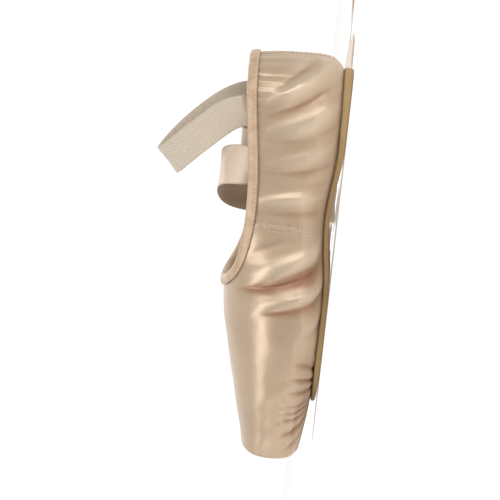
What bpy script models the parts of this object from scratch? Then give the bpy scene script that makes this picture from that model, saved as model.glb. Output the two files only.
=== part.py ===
"""A pointe shoe that stands unbent on its outsole.

+X points to the toe and +Z up. The shoe is the same on both sides of Y = 0, and the origin lies on the
floor at mid length. Every piece is worked out from one last. A column of the last climbs from the middle
of the underside, round the side, to the middle of the top. Columns stand across the shoe from the heel
centre to the toe, and fan round the heel centre behind it.
"""

from collections import namedtuple
import math

import bmesh
import bpy
import numpy as np

# Driving dimensions, in metres
LENGTH = 0.230
BALL_WIDTH = 0.085
INSTEP_HEIGHT = 0.060
HEEL_CENTRE = 0.0288
TOE_SPRING = 0.0045
ARCH_RISE = 0.0040
SOLE_THICKNESS = 0.0024
SEAM_STEP = 0.0004
GAP = 0.0003
MIDDLE = (LENGTH - SEAM_STEP) / 2

# The heel's plan is a superellipse round the heel centre
HEEL_SQUARE = 2.2
FAN_LENGTH = HEEL_CENTRE * math.pi / 2

# Heights of the outsole's underside: flat under the heel and the forefoot, in shares of the length
HEEL_FLAT_END = 0.20
BALL_FLAT_START = 0.59
BALL_FLAT_END = 0.745

# Sections of the last. station is a share of the length from the heel, width a share of the ball width,
# crown and widest are heights as shares of the instep height, and the last two say how square the
# section is above and below its widest line (2 is an ellipse, more is squarer).
Section = namedtuple("Section", "station width crown widest square_top square_base")
SECTIONS = (
    Section(station=0.125, width=0.660, crown=1.38, widest=0.37, square_top=2.3, square_base=3.4),
    Section(station=0.250, width=0.690, crown=1.34, widest=0.36, square_top=2.3, square_base=3.0),
    Section(station=0.400, width=0.765, crown=1.20, widest=0.35, square_top=2.2, square_base=2.8),
    Section(station=0.530, width=0.925, crown=1.03, widest=0.32, square_top=2.1, square_base=3.6),
    Section(station=0.650, width=1.000, crown=0.968, widest=0.30, square_top=2.1, square_base=4.4),
    Section(station=0.750, width=0.950, crown=0.888, widest=0.31, square_top=2.15, square_base=4.2),
    Section(station=0.860, width=0.815, crown=0.785, widest=0.35, square_top=2.25, square_base=3.4),
    Section(station=0.985, width=0.640, crown=0.672, widest=0.39, square_top=2.4, square_base=2.7),
)

# Collar line seen from the side: height as a share of the instep height. Its front end is the throat.
CollarPoint = namedtuple("CollarPoint", "station height")
THROAT = 0.570
COLLAR = (
    CollarPoint(station=0.000, height=0.955),
    CollarPoint(station=0.125, height=0.920),
    CollarPoint(station=0.250, height=0.860),
    CollarPoint(station=0.380, height=0.830),
    CollarPoint(station=0.470, height=0.855),
    CollarPoint(station=0.530, height=0.915),
)

# Upper
QUARTER_WALL = 0.0014
BOX_WALL = 0.0030
WALL_GROWS_FROM = 0.48
WALL_GROWS_TO = 0.75
SIDE_SEAM = 0.400
BACK_SEAM_ANGLE = 5.0
TOE_EDGE_RADIUS = 0.0035
MARGIN = 0.008
OPENING_FRONT = 0.84
OPENING_BACK = 0.060
OPENING_ROUND = 0.12
PLEAT_DEPTH = 0.0009
UNDERSIDE_ROWS = 9
SIDE_ROWS = 12
CAP_STRIPS = 4
FEATHER_ANGLE = -42.0
FAN_ANGLES = (0.0, 5.0, 18.0, 32.0, 46.0, 60.0, 75.0)
COLUMN_STATIONS = (0.125, 0.17, 0.22, 0.27, 0.32, 0.365, 0.3985, 0.4015, 0.44, 0.475, 0.505)
THROAT_STEPS = 5
THROAT_STEP = 0.00055
THROAT_CROWDING = 1.7
FRONT_STATIONS = (0.60, 0.635, 0.67, 0.71, 0.75, 0.79, 0.82, 0.84, 0.87, 0.90, 0.93, 0.96)

# Outsole and insole. Half widths are shares of the ball width.
PlanPoint = namedtuple("PlanPoint", "station half_width")
OUTSOLE_START = 0.026
OUTSOLE_END = 0.870
OUTSOLE_PLAN = (
    PlanPoint(station=0.00, half_width=0.232),
    PlanPoint(station=0.12, half_width=0.238),
    PlanPoint(station=0.26, half_width=0.205),
    PlanPoint(station=0.40, half_width=0.188),
    PlanPoint(station=0.52, half_width=0.270),
    PlanPoint(station=0.64, half_width=0.368),
    PlanPoint(station=0.74, half_width=0.362),
    PlanPoint(station=0.88, half_width=0.260),
)
OUTSOLE_ROUND_HEEL = 0.085
OUTSOLE_ROUND_TOE = 0.140
END_SQUARE = 2.1
SOLE_STEP = 0.0007
SOLE_CHAMFER = 0.0008
INSOLE_THICKNESS = 0.0016
INSOLE_REACH = 0.84
INSOLE_END = 0.945
INSOLE_ROUND_TOE = 0.060
PLATE_STATIONS = 30
PLATE_STRIPS = 4

# Collar binding
BINDING_WIDTH = 0.0048
BINDING_THICKNESS = 0.0008
BINDING_GAP = 0.00045
BINDING_STEPS = 4
BINDING_REACH = 0.0070

# Elastic, in metres: hand-placed points of its left half above the quarter
ELASTIC_WIDTH = 0.018
ELASTIC_THICKNESS = 0.0010
ELASTIC_STATION = 0.135
ELASTIC_SEAT_HEIGHTS = (0.038, 0.046, 0.054)
ELASTIC_INSIDE = 0.0021
ELASTIC_LEAN = 47.0
ELASTIC_ROUTE = (
    (-0.0805, 0.0192, 0.0640),
    (-0.0715, 0.0204, 0.0755),
    (-0.0600, 0.0180, 0.0870),
    (-0.0500, 0.0104, 0.0955),
    (-0.0462, 0.0000, 0.0985),
)
ELASTIC_SAMPLES = 15

# Ribbons, in metres: hand-placed points of each route, from the seat inside the quarter to the cut end
RIBBON_WIDTH = 0.022
RIBBON_THICKNESS = 0.0005
RIBBON_STATION = 0.270
RIBBON_SEAT_HEIGHTS = (0.030, 0.038, 0.046)
RIBBON_INSIDE = 0.0020
RIBBON_SEATED = 6
RIBBON_ON_FLOOR = 0.0006
RIBBON_DRAPE_STEPS = 32
RIBBON_FLOOR_STEPS = 34
LEFT_RIBBON_DRAPE = (
    (-0.0530, 0.0222, 0.0560),
    (-0.0510, 0.0165, 0.0640),
    (-0.0450, 0.0040, 0.0685),
    (-0.0370, -0.0100, 0.0680),
    (-0.0295, -0.0235, 0.0635),
    (-0.0250, -0.0335, 0.0545),
    (-0.0225, -0.0385, 0.0400),
    (-0.0205, -0.0420, 0.0230),
    (-0.0190, -0.0480, 0.0090),
    (-0.0165, -0.0600, 0.0015),
)
LEFT_RIBBON_FLOOR = (
    (-0.0125, -0.0770),
    (-0.0030, -0.1050),
    (0.0180, -0.1340),
    (0.0500, -0.1560),
    (0.0820, -0.1780),
    (0.1000, -0.2120),
    (0.0940, -0.2500),
    (0.0700, -0.2820),
    (0.0420, -0.3100),
    (0.0260, -0.3440),
)
RIGHT_RIBBON_DRAPE = (
    (-0.0530, -0.0221, 0.0548),
    (-0.0532, -0.0262, 0.0595),
    (-0.0537, -0.0322, 0.0580),
    (-0.0545, -0.0350, 0.0480),
    (-0.0560, -0.0375, 0.0340),
    (-0.0580, -0.0405, 0.0200),
    (-0.0605, -0.0470, 0.0080),
    (-0.0635, -0.0590, 0.0015),
)
RIGHT_RIBBON_FLOOR = (
    (-0.0680, -0.0760),
    (-0.0810, -0.1060),
    (-0.0920, -0.1400),
    (-0.0880, -0.1760),
    (-0.0660, -0.2060),
    (-0.0360, -0.2300),
    (-0.0140, -0.2600),
    (-0.0160, -0.2960),
    (-0.0420, -0.3220),
    (-0.0740, -0.3400),
    (-0.1030, -0.3500),
)


def spline(knots, values, at, level_start=False):
    """Value at each place of the cubic spline through the knots, with no bend at its ends.

    level_start makes it leave its first knot level instead.
    """
    knots = np.asarray(knots, float)
    values = np.asarray(values, float)
    step = np.diff(knots)
    slope = np.diff(values) / step
    size = len(knots)
    system = np.eye(size)
    right = np.zeros(size)
    for row in range(1, size - 1):
        system[row, row - 1 : row + 2] = step[row - 1], 2 * (step[row - 1] + step[row]), step[row]
        right[row] = 6 * (slope[row] - slope[row - 1])
    if level_start:
        system[0, :2] = 2 * step[0], step[0]
        right[0] = 6 * slope[0]
    bend = np.linalg.solve(system, right)
    at = np.clip(at, knots[0], knots[-1])
    left = np.clip(np.searchsorted(knots, at) - 1, 0, size - 2)
    width = step[left]
    back = (knots[left + 1] - at) / width
    front = (at - knots[left]) / width
    line = back * values[left] + front * values[left + 1]
    curve = (back**3 - back) * bend[left] + (front**3 - front) * bend[left + 1]
    return line + curve * width**2 / 6


def curve_through(points, count, level=None):
    """Points at equal chord steps along a smooth curve through the given points."""
    points = np.asarray(points, float)
    chords = np.linalg.norm(np.diff(points, axis=0), axis=1)
    knots = np.concatenate([[0.0], np.cumsum(chords)])
    at = np.linspace(0, knots[-1], count) if level is None else level * knots[-1]
    return np.stack([spline(knots, points[:, axis], at) for axis in range(3)], axis=1)


def ramp(value, start, end):
    """0 before start, 1 after end, and a smooth rise between."""
    share = np.clip((value - start) / (end - start), 0, 1)
    return share * share * (3 - 2 * share)


def section_value(station, column):
    """One column of the section table at a station, level through the heel."""
    knots = [row.station for row in SECTIONS]
    values = [getattr(row, column) for row in SECTIONS]
    return spline(knots, values, station, level_start=True)


def floor_gap(station):
    """Height of the outsole's underside: an arch at the waist, and the spring towards the toe."""
    waist = np.clip((station - HEEL_FLAT_END) / (BALL_FLAT_START - HEEL_FLAT_END), 0, 1)
    toe = np.clip((station - BALL_FLAT_END) / (1 - BALL_FLAT_END), 0, 1)
    return ARCH_RISE * np.sin(np.pi * waist) ** 2 + TOE_SPRING * toe**2


def base_height(station):
    """Height of the upper's underside on the middle line."""
    return floor_gap(station) + SOLE_THICKNESS + GAP


def wall(station):
    """Wall thickness of the upper."""
    return QUARTER_WALL + (BOX_WALL - QUARTER_WALL) * ramp(station, WALL_GROWS_FROM, WALL_GROWS_TO)


def superellipse(share, square):
    """Height of a superellipse of size 1 at a share of its width."""
    return (1 - np.clip(np.abs(share), 0, 1) ** square) ** (1 / square)


def heel_reach(angle):
    """Distance from the heel centre to the last's widest line, at an angle from straight back."""
    side = section_value(SECTIONS[0].station, "width") * BALL_WIDTH / 2
    back_part = (np.cos(angle) / HEEL_CENTRE) ** HEEL_SQUARE
    side_part = (np.sin(angle) / side) ** HEEL_SQUARE
    return (back_part + side_part) ** (-1 / HEEL_SQUARE)


def last_point(column, angle):
    """Point of the upper's outer face.

    column runs in metres: below 0 it fans round the heel centre, and from 0 on it is the distance in
    front of it. angle is -90 degrees in the middle of the underside, 0 at the widest line and 90 at the
    middle of the top.
    """
    column, angle = np.broadcast_arrays(np.asarray(column, float), np.asarray(angle, float))
    along = HEEL_CENTRE + np.maximum(column, 0)
    station = along / LENGTH
    turn = np.pi / 2 * (1 + np.minimum(column, 0) / FAN_LENGTH)
    half_width = section_value(station, "width") * BALL_WIDTH / 2
    reach = np.where(column < 0, heel_reach(np.clip(turn, 1e-9, np.pi / 2)), half_width)
    radians = np.radians(angle)
    upper_half = radians > 0
    square = np.where(
        upper_half, section_value(station, "square_top"), section_value(station, "square_base")
    )
    widest = section_value(station, "widest") * INSTEP_HEIGHT
    crown = section_value(station, "crown") * INSTEP_HEIGHT
    rise = np.where(upper_half, crown - widest, widest - base_height(station))
    cosine = np.cos(radians)
    sine = np.sin(radians)
    size = (np.abs(cosine) ** square + np.abs(sine) ** square) ** (-1 / square)
    outward = reach * size * cosine
    x = along - outward * np.cos(turn) - MIDDLE
    y = outward * np.sin(turn)
    z = widest + rise * size * sine
    return np.stack([x, y, z], axis=-1)


def last_normal(column, angle):
    """Unit normal of the outer face, pointing out."""
    small = 1e-5
    turn = 1e-2
    along = last_point(column + small, angle) - last_point(column - small, angle)
    up = last_point(column, angle + turn) - last_point(column, angle - turn)
    normal = np.cross(up, along)
    return normal / np.linalg.norm(normal, axis=-1, keepdims=True)


def angle_at_height(station, height):
    """Angle above the widest line at which the section reaches a height."""
    widest = section_value(station, "widest") * INSTEP_HEIGHT
    crown = section_value(station, "crown") * INSTEP_HEIGHT
    share = np.clip((height - widest) / (crown - widest), 0, 1)
    across = superellipse(share, section_value(station, "square_top"))
    return np.degrees(np.arctan2(share, across))


def angle_at_width(station, share):
    """Angle below the widest line at which the section is a share of its full width."""
    down = superellipse(share, section_value(station, "square_base"))
    return -np.degrees(np.arctan2(down, share))


def column_station(column):
    """Station of a column's widest point, also where the columns fan round the heel."""
    turn = np.pi / 2 * (1 + np.minimum(column, 0) / FAN_LENGTH)
    fanned = (HEEL_CENTRE - HEEL_CENTRE * np.cos(turn)) / LENGTH
    return np.where(column < 0, fanned, (HEEL_CENTRE + np.maximum(column, 0)) / LENGTH)


def collar_height(station):
    """Height of the collar line, which meets the last's crown at the throat."""
    knots = [point.station for point in COLLAR] + [THROAT]
    heights = [point.height for point in COLLAR] + [float(section_value(THROAT, "crown"))]
    return spline(knots, heights, station) * INSTEP_HEIGHT


def collar_angle(column):
    """Angle of a column's top end: the collar line, and the middle of the vamp in front of the throat."""
    height = collar_height(column_station(column))
    section = (HEEL_CENTRE + np.maximum(column, 0)) / LENGTH
    front = section >= THROAT - 1e-9
    return np.where(front, 90.0, angle_at_height(section, height))


def outsole_half_width(station):
    """Half width of the outsole before its ends are rounded."""
    knots = [point.station for point in OUTSOLE_PLAN]
    values = [point.half_width for point in OUTSOLE_PLAN]
    return spline(knots, values, station) * BALL_WIDTH


def opening_angle(column):
    """Angle of a column's bottom end: the edge turned in under the foot, closed under the toe."""
    section = (HEEL_CENTRE + np.maximum(column, 0)) / LENGTH
    turn = np.pi / 2 * (1 + np.minimum(column, 0) / FAN_LENGTH)
    reach = np.where(column < 0, heel_reach(turn), section_value(section, "width") * BALL_WIDTH / 2)
    side = outsole_half_width(section) - MARGIN
    front = np.clip((section - OPENING_FRONT + OPENING_ROUND) / OPENING_ROUND, 0, 1)
    side = side * superellipse(front, 2)
    back = HEEL_CENTRE - OPENING_BACK * LENGTH
    fanned = ((np.cos(turn) / back) ** 2 + (np.sin(turn) / side.clip(1e-6)) ** 2) ** -0.5
    half = np.where(column < 0, fanned, side)
    closed = section >= OPENING_FRONT - 1e-9
    return np.where(closed, -90.0, angle_at_width(section, half / reach))


def upper_columns():
    """Columns from the middle of the heel to the start of the toe's rounded edge.

    They crowd together behind the throat, where the collar line turns across the shoe.
    """
    fan = [FAN_LENGTH * (angle / 90 - 1) for angle in FAN_ANGLES]
    quarters = [station * LENGTH - HEEL_CENTRE for station in COLUMN_STATIONS]
    quarters[0] = 0.0
    throat = THROAT * LENGTH - HEEL_CENTRE
    steps = [throat - THROAT_STEP * count**THROAT_CROWDING for count in range(THROAT_STEPS, -1, -1)]
    front = [station * LENGTH - HEEL_CENTRE for station in FRONT_STATIONS]
    last = LENGTH - TOE_EDGE_RADIUS - HEEL_CENTRE
    return np.array(fan + quarters + steps + front + [last])


def upper_angles(columns):
    """Angles of every row of every column, from the opening underneath to the collar."""
    low = opening_angle(columns)[:, None]
    high = collar_angle(columns)[:, None]
    under = np.linspace(0, 1, UNDERSIDE_ROWS + 1)[None, :-1]
    side = np.linspace(0, 1, SIDE_ROWS + 1)[None, :]
    lower_rows = low + (FEATHER_ANGLE - low) * under
    upper_rows = FEATHER_ANGLE + (high - FEATHER_ANGLE) * side
    return np.concatenate([lower_rows, upper_rows], axis=1)


def relief(columns, angles):
    """How far each point stands out from the smooth last: the seams' steps, and the pleats' grooves."""
    rows = angles.shape[1]
    above = ramp(angles, FEATHER_ANGLE, FEATHER_ANGLE / 3)
    station = ((HEEL_CENTRE + np.maximum(columns, 0)) / LENGTH)[:, None]
    angle = 90 * (1 + np.minimum(columns, 0) / FAN_LENGTH)[:, None]
    vamp = SEAM_STEP * ramp(station, SIDE_SEAM - 0.002, SIDE_SEAM + 0.002)
    back = SEAM_STEP * (1 - ramp(angle, 0, BACK_SEAM_ANGLE))
    start = OPENING_FRONT
    swell = ramp(station, start, start + 0.05) * (1 - 0.6 * ramp(station, 0.95, 1.0))
    groove = np.array([row % 2 for row in range(rows)], float)
    fade = 1 - ramp(np.arange(rows), UNDERSIDE_ROWS, UNDERSIDE_ROWS + 3)
    return (vamp + back) * above - PLEAT_DEPTH * swell * (groove * fade)[None, :]


def upper_faces():
    """Outer and inner faces of the upper's left half, as grids of points by column and row."""
    columns = upper_columns()
    angles = upper_angles(columns)
    rows = angles.shape[1]
    grid = np.repeat(columns[:, None], rows, axis=1)
    smooth = last_point(grid, angles)
    normals = last_normal(grid, angles)
    thickness = wall((HEEL_CENTRE + np.maximum(grid, 0)) / LENGTH)[..., None]
    lift = relief(columns, angles)[..., None]
    outer = smooth + normals * lift
    inner = smooth - normals * thickness
    flat_normal = normals[-1] * np.array([0, 1, 1])
    flat_normal /= np.linalg.norm(flat_normal, axis=1, keepdims=True)
    for degrees in (30, 60, 90):
        turn = math.radians(degrees)
        drop = flat_normal * TOE_EDGE_RADIUS * (1 - math.cos(turn))
        ahead = np.array([TOE_EDGE_RADIUS * math.sin(turn), 0, 0])
        edge = smooth[-1] - drop + ahead
        normal = flat_normal * math.cos(turn) + np.array([math.sin(turn), 0, 0])
        fade = 1 - degrees / 90
        outer = np.concatenate([outer, [edge + normal * lift[-1] * fade]])
        inner = np.concatenate([inner, [edge - normal * BOX_WALL]])
    return outer, inner, len(columns)


def platform(edge):
    """The flat end of the toe: the edge's points carried straight across to the middle."""
    strips = [edge * np.array([1, 1 - share, 1]) for share in np.linspace(0, 1, CAP_STRIPS + 1)]
    return np.array(strips)


def half_solid(name, patches, material):
    """A closed solid from the grids of its left half, mirrored across the middle and welded."""
    mesh = bpy.data.meshes.new(name)
    points = []
    faces = []
    for patch in patches:
        rows, columns = patch.shape[:2]
        first = len(points)
        flat = patch.reshape(-1, 3)
        flat = np.where(np.abs(flat) < 1e-8, 0.0, flat)
        points.extend(map(tuple, flat))
        for i in range(rows - 1):
            for j in range(columns - 1):
                corner = first + i * columns + j
                faces.append((corner, corner + 1, corner + columns + 1, corner + columns))
    mesh.from_pydata(points, [], faces)
    body = bmesh.new()
    body.from_mesh(mesh)
    bmesh.ops.remove_doubles(body, verts=body.verts, dist=2e-6)
    everything = body.verts[:] + body.edges[:] + body.faces[:]
    bmesh.ops.mirror(body, geom=everything, axis="Y", merge_dist=2e-6)
    bmesh.ops.recalc_face_normals(body, faces=body.faces)
    body.to_mesh(mesh)
    body.free()
    return place(name, mesh, material)


def place(name, mesh, material):
    """Put a mesh in the scene as one object with its own material."""
    mesh.shade_smooth()
    mesh.set_sharp_from_angle(angle=math.radians(40))
    mesh.materials.append(material)
    piece = bpy.data.objects.new(name, mesh)
    bpy.context.collection.objects.link(piece)
    return piece


def upper(material):
    """The hollow upper: outer face, inner face, both toe ends, the collar's edge and the turned-in edge."""
    outer, inner, straight = upper_faces()
    columns = upper_columns()
    throat = int(np.argmin(np.abs(columns - (THROAT * LENGTH - HEEL_CENTRE))))
    closed = int(np.argmin(np.abs(columns - (OPENING_FRONT * LENGTH - HEEL_CENTRE))))
    for face in (outer, inner):
        face[throat:, -1, 1] = 0
        face[closed:, 0, 1] = 0
        face[0, :, 1] = 0
    collar = np.stack([outer[: throat + 1, -1], inner[: throat + 1, -1]], axis=1)
    turned_in = np.stack([outer[: closed + 1, 0], inner[: closed + 1, 0]], axis=1)
    patches = [outer, inner, platform(outer[-1]), platform(inner[-1]), collar, turned_in]
    return half_solid("upper", patches, material)


def underside(x, y, inset):
    """Height of the upper's lower face over a place on the plan, inset into its wall."""
    along = x + MIDDLE
    station = np.maximum(along, HEEL_CENTRE) / LENGTH
    half = section_value(station, "width") * BALL_WIDTH / 2 - inset
    behind = np.maximum(HEEL_CENTRE - along, 0) / (HEEL_CENTRE - inset)
    share = (behind**HEEL_SQUARE + (np.abs(y) / half) ** HEEL_SQUARE) ** (1 / HEEL_SQUARE)
    widest = section_value(station, "widest") * INSTEP_HEIGHT
    drop = widest - base_height(station) - inset
    return widest - drop * superellipse(share, section_value(station, "square_base"))


def plan_outline(start, end, half_width, inset):
    """Plan outline of a plate from heel to toe, crowded at both round ends and moved in by inset."""
    share = (1 - np.cos(np.linspace(0, np.pi, PLATE_STATIONS + 1))) / 2
    station = start + (end - start) * share
    x = station * LENGTH - MIDDLE
    y = half_width(station)
    outline = np.stack([x, y], axis=1)
    heading = np.gradient(outline, axis=0)
    heading[0] = (0, 1)
    heading[-1] = (0, -1)
    heading /= np.linalg.norm(heading, axis=1, keepdims=True)
    inward = np.stack([heading[:, 1], -heading[:, 0]], axis=1)
    moved = outline + inward * inset
    moved[0, 1] = moved[-1, 1] = 0
    moved[:, 1] = np.maximum(moved[:, 1], 0)
    return moved


def plate_face(outline, height):
    """Strips from the middle line out to an outline, each point at its own height."""
    shares = np.linspace(0, 1, PLATE_STRIPS + 1)
    x = np.repeat(outline[:, 0][:, None], len(shares), axis=1)
    y = outline[:, 1][:, None] * shares[None, :]
    return np.stack([x, y, height(x, y)], axis=2)


def outsole(material):
    """The leather outsole: its top follows the upper, and its side steps in twice down to the floor."""
    def rounded(station):
        back = np.clip((OUTSOLE_START + OUTSOLE_ROUND_HEEL - station) / OUTSOLE_ROUND_HEEL, 0, 1)
        front = np.clip((station - OUTSOLE_END + OUTSOLE_ROUND_TOE) / OUTSOLE_ROUND_TOE, 0, 1)
        ends = superellipse(back, END_SQUARE) * superellipse(front, END_SQUARE)
        return outsole_half_width(station) * ends

    def seat(x, y):
        return underside(x, y, 0) - GAP

    def tread(x, y):
        return floor_gap((x + MIDDLE) / LENGTH) + 0 * y

    outlines = [
        plan_outline(OUTSOLE_START, OUTSOLE_END, rounded, inset) for inset in (SOLE_STEP, 0, SOLE_CHAMFER)
    ]
    top = plate_face(outlines[0], seat)
    bottom = plate_face(outlines[2], tread)
    upper_edge = np.column_stack([outlines[1], top[:, -1, 2] - SOLE_STEP])
    lower_edge = np.column_stack([outlines[1], bottom[:, -1, 2] + SOLE_CHAMFER])
    side = np.stack([top[:, -1], upper_edge, lower_edge, bottom[:, -1]], axis=1)
    return half_solid("outsole", [top, bottom, side], material)


def insole(material):
    """The insole board, lying on the turned-in edge inside the upper."""
    inset = QUARTER_WALL + 2 * GAP

    def inside(station):
        along = station * LENGTH
        section = np.maximum(along, HEEL_CENTRE) / LENGTH
        half = section_value(section, "width") * BALL_WIDTH / 2 - wall(section) - GAP
        behind = np.maximum(HEEL_CENTRE - along, 0) / (INSOLE_REACH * (HEEL_CENTRE - inset))
        heel = superellipse(behind, HEEL_SQUARE)
        toe = np.clip((station - INSOLE_END + INSOLE_ROUND_TOE) / INSOLE_ROUND_TOE, 0, 1)
        return INSOLE_REACH * half * heel * superellipse(toe, END_SQUARE)

    def lower(x, y):
        station = (x + MIDDLE) / LENGTH
        return underside(x, y, wall(station)) + GAP

    def higher(x, y):
        return lower(x, y) + INSOLE_THICKNESS

    start = (HEEL_CENTRE - INSOLE_REACH * (HEEL_CENTRE - inset)) / LENGTH
    outline = plan_outline(start, INSOLE_END, inside, 0)
    top = plate_face(outline, higher)
    bottom = plate_face(outline, lower)
    side = np.stack([top[:, -1], bottom[:, -1]], axis=1)
    return half_solid("insole", [top, bottom, side], material)


def walk_on_last(column, angle, heading, distance, steps):
    """Move points over the last by a distance, in small steps along a heading fixed in space."""
    for _ in range(steps):
        small = 1e-5
        turn = 1e-2
        along = (last_point(column + small, angle) - last_point(column - small, angle)) / (2 * small)
        up = (last_point(column, angle + turn) - last_point(column, angle - turn)) / (2 * turn)
        normal = np.cross(up, along)
        normal /= np.linalg.norm(normal, axis=1, keepdims=True)
        flat = heading - np.sum(heading * normal, axis=1, keepdims=True) * normal
        flat /= np.linalg.norm(flat, axis=1, keepdims=True)
        move = flat * distance / steps
        a, b, c = np.sum(along * along, 1), np.sum(along * up, 1), np.sum(up * up, 1)
        p, q = np.sum(along * move, 1), np.sum(up * move, 1)
        spread = a * c - b * b
        column = column + (p * c - q * b) / spread
        angle = angle + (a * q - b * p) / spread
    return column, angle


def collar_frame():
    """Column, angle, and the direction away from the collar over the upper, all along its edge."""
    columns = upper_columns()
    throat = int(np.argmin(np.abs(columns - (THROAT * LENGTH - HEEL_CENTRE))))
    columns = columns[: throat + 1]
    angles = collar_angle(columns)
    edge = last_point(columns, angles)
    whole = np.concatenate([edge[1:2] * [1, -1, 1], edge, edge[-2:-1] * [1, -1, 1]])
    heading = whole[2:] - whole[:-2]
    heading /= np.linalg.norm(heading, axis=1, keepdims=True)
    normal = last_normal(columns, angles)
    away = np.cross(normal, heading)
    away /= np.linalg.norm(away, axis=1, keepdims=True)
    return columns, angles, normal, away


def binding(material):
    """The collar casing, folded over the upper's edge: one leg outside, one inside, a round top."""
    columns, angles, normal, away = collar_frame()
    edge = last_point(columns, angles)
    far_column, far_angle = walk_on_last(columns, angles, away, BINDING_WIDTH, BINDING_STEPS)
    thickness = wall((HEEL_CENTRE + np.maximum(far_column, 0)) / LENGTH)[:, None]
    far = last_point(far_column, far_angle)
    far_normal = last_normal(far_column, far_angle)
    near = BINDING_GAP + SEAM_STEP
    out = near + BINDING_THICKNESS
    over = GAP + BINDING_THICKNESS
    inner = thickness + BINDING_GAP
    middle = (edge + far) / 2
    middle_normal = (normal + far_normal) / 2
    loop = [
        far + far_normal * near,
        far + far_normal * out,
        middle + middle_normal * (out + BINDING_THICKNESS / 3),
        edge + normal * out,
        edge + normal * near / 2 - away * over,
        edge - normal * (thickness + GAP / 2) - away * over,
        edge - normal * (inner + BINDING_THICKNESS),
        far - far_normal * (inner + BINDING_THICKNESS),
        far - far_normal * inner,
        edge - normal * inner - away * GAP,
        edge + normal * near - away * GAP,
    ]
    ring = np.stack(loop + loop[:1], axis=1)
    ring[0, :, 1] = 0
    ring[-1, :, 1] = 0
    return half_solid("collar_binding", [ring], material)


def inside_quarter(station, heights, clearance, side):
    """Points on a vertical line inside a quarter, a little clear of its wall."""
    column = station * LENGTH - HEEL_CENTRE
    heights = np.asarray(heights)
    angle = angle_at_height(station, heights)
    columns = np.full(len(heights), column)
    inward = wall(station) + clearance
    points = last_point(columns, angle) - last_normal(columns, angle) * inward
    return points * np.array([1, side, 1])


def kept_inside(edge, clearance):
    """Move a band's edge in from the quarters, as far up as a little over the collar."""
    along = edge[:, 0] + MIDDLE
    station = np.maximum(along, HEEL_CENTRE) / LENGTH
    widest = section_value(station, "widest") * INSTEP_HEIGHT
    crown = section_value(station, "crown") * INSTEP_HEIGHT
    share = np.clip((edge[:, 2] - widest) / (crown - widest), 0, 1)
    across = superellipse(share, section_value(station, "square_top"))
    behind = np.maximum(HEEL_CENTRE - along, 0) / (HEEL_CENTRE * across.clip(1e-6))
    half = section_value(station, "width") * BALL_WIDTH / 2 * across * superellipse(behind, HEEL_SQUARE)
    collar = collar_height(along / LENGTH) + BINDING_REACH
    limit = np.where(edge[:, 2] < collar, half - wall(station) - clearance, np.inf)
    inside = edge.copy()
    inside[:, 1] = np.sign(edge[:, 1]) * np.minimum(np.abs(edge[:, 1]), limit)
    return inside


def strip_solid(name, path, across, size, material, inside, seated):
    """A flat band of even width and thickness laid along a path, with square ends.

    Along its first seated points its edges stay clear of the quarters' walls by the distance inside.
    """
    width, thickness = size
    heading = np.gradient(path, axis=0)
    heading /= np.linalg.norm(heading, axis=1, keepdims=True)
    across = across - np.sum(across * heading, axis=1, keepdims=True) * heading
    across /= np.linalg.norm(across, axis=1, keepdims=True)
    normal = np.cross(heading, across)
    side = across * width / 2
    up = normal * thickness / 2
    edges = [path - side, path + side]
    for edge in edges:
        edge[:seated] = kept_inside(edge[:seated], inside)
    corners = [edges[0] - up, edges[1] - up, edges[1] + up, edges[0] + up]
    ring = np.stack(corners, axis=1)
    count = len(path)
    points = [tuple(point) for point in ring.reshape(-1, 3)]
    faces = []
    for i in range(count - 1):
        for j in range(4):
            after = (j + 1) % 4
            faces.append((4 * i + j, 4 * i + after, 4 * i + 4 + after, 4 * i + 4 + j))
    last = 4 * (count - 1)
    faces.append((3, 2, 1, 0))
    faces.append((last, last + 1, last + 2, last + 3))
    mesh = bpy.data.meshes.new(name)
    mesh.from_pydata(points, [], faces)
    body = bmesh.new()
    body.from_mesh(mesh)
    bmesh.ops.recalc_face_normals(body, faces=body.faces)
    body.to_mesh(mesh)
    body.free()
    return place(name, mesh, material)


def elastic(material):
    """The elastic hoop, seated inside both quarters and leaning forward over the ankle."""
    seat = inside_quarter(ELASTIC_STATION, ELASTIC_SEAT_HEIGHTS, ELASTIC_INSIDE, 1)
    left = np.concatenate([seat, ELASTIC_ROUTE])
    whole = np.concatenate([left, left[-2::-1] * [1, -1, 1]])
    path = curve_through(whole, 2 * ELASTIC_SAMPLES + 1)
    lean = math.radians(ELASTIC_LEAN)
    across = np.tile([-math.sin(lean), 0, math.cos(lean)], (len(path), 1))
    size = (ELASTIC_WIDTH, ELASTIC_THICKNESS)
    return strip_solid("heel_elastic", path, across, size, material, ELASTIC_INSIDE, len(path))


def ribbon_path(side, drape, floor):
    """Middle line of a ribbon: closely spaced over the collar, wider apart on the floor."""
    seat = inside_quarter(RIBBON_STATION, RIBBON_SEAT_HEIGHTS, RIBBON_INSIDE, side)
    flat = [(x, y, RIBBON_ON_FLOOR) for x, y in floor]
    route = np.concatenate([seat, drape, flat])
    chords = np.linalg.norm(np.diff(route, axis=0), axis=1)
    landed = chords[: len(seat) + len(drape)].sum() / chords.sum()
    hanging = np.linspace(0, landed, RIBBON_DRAPE_STEPS + 1)[:-1]
    lying = np.linspace(landed, 1, RIBBON_FLOOR_STEPS)
    path = curve_through(route, 0, level=np.concatenate([hanging, lying]))
    path[:, 2] = np.maximum(path[:, 2], RIBBON_ON_FLOOR)
    return path


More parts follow.
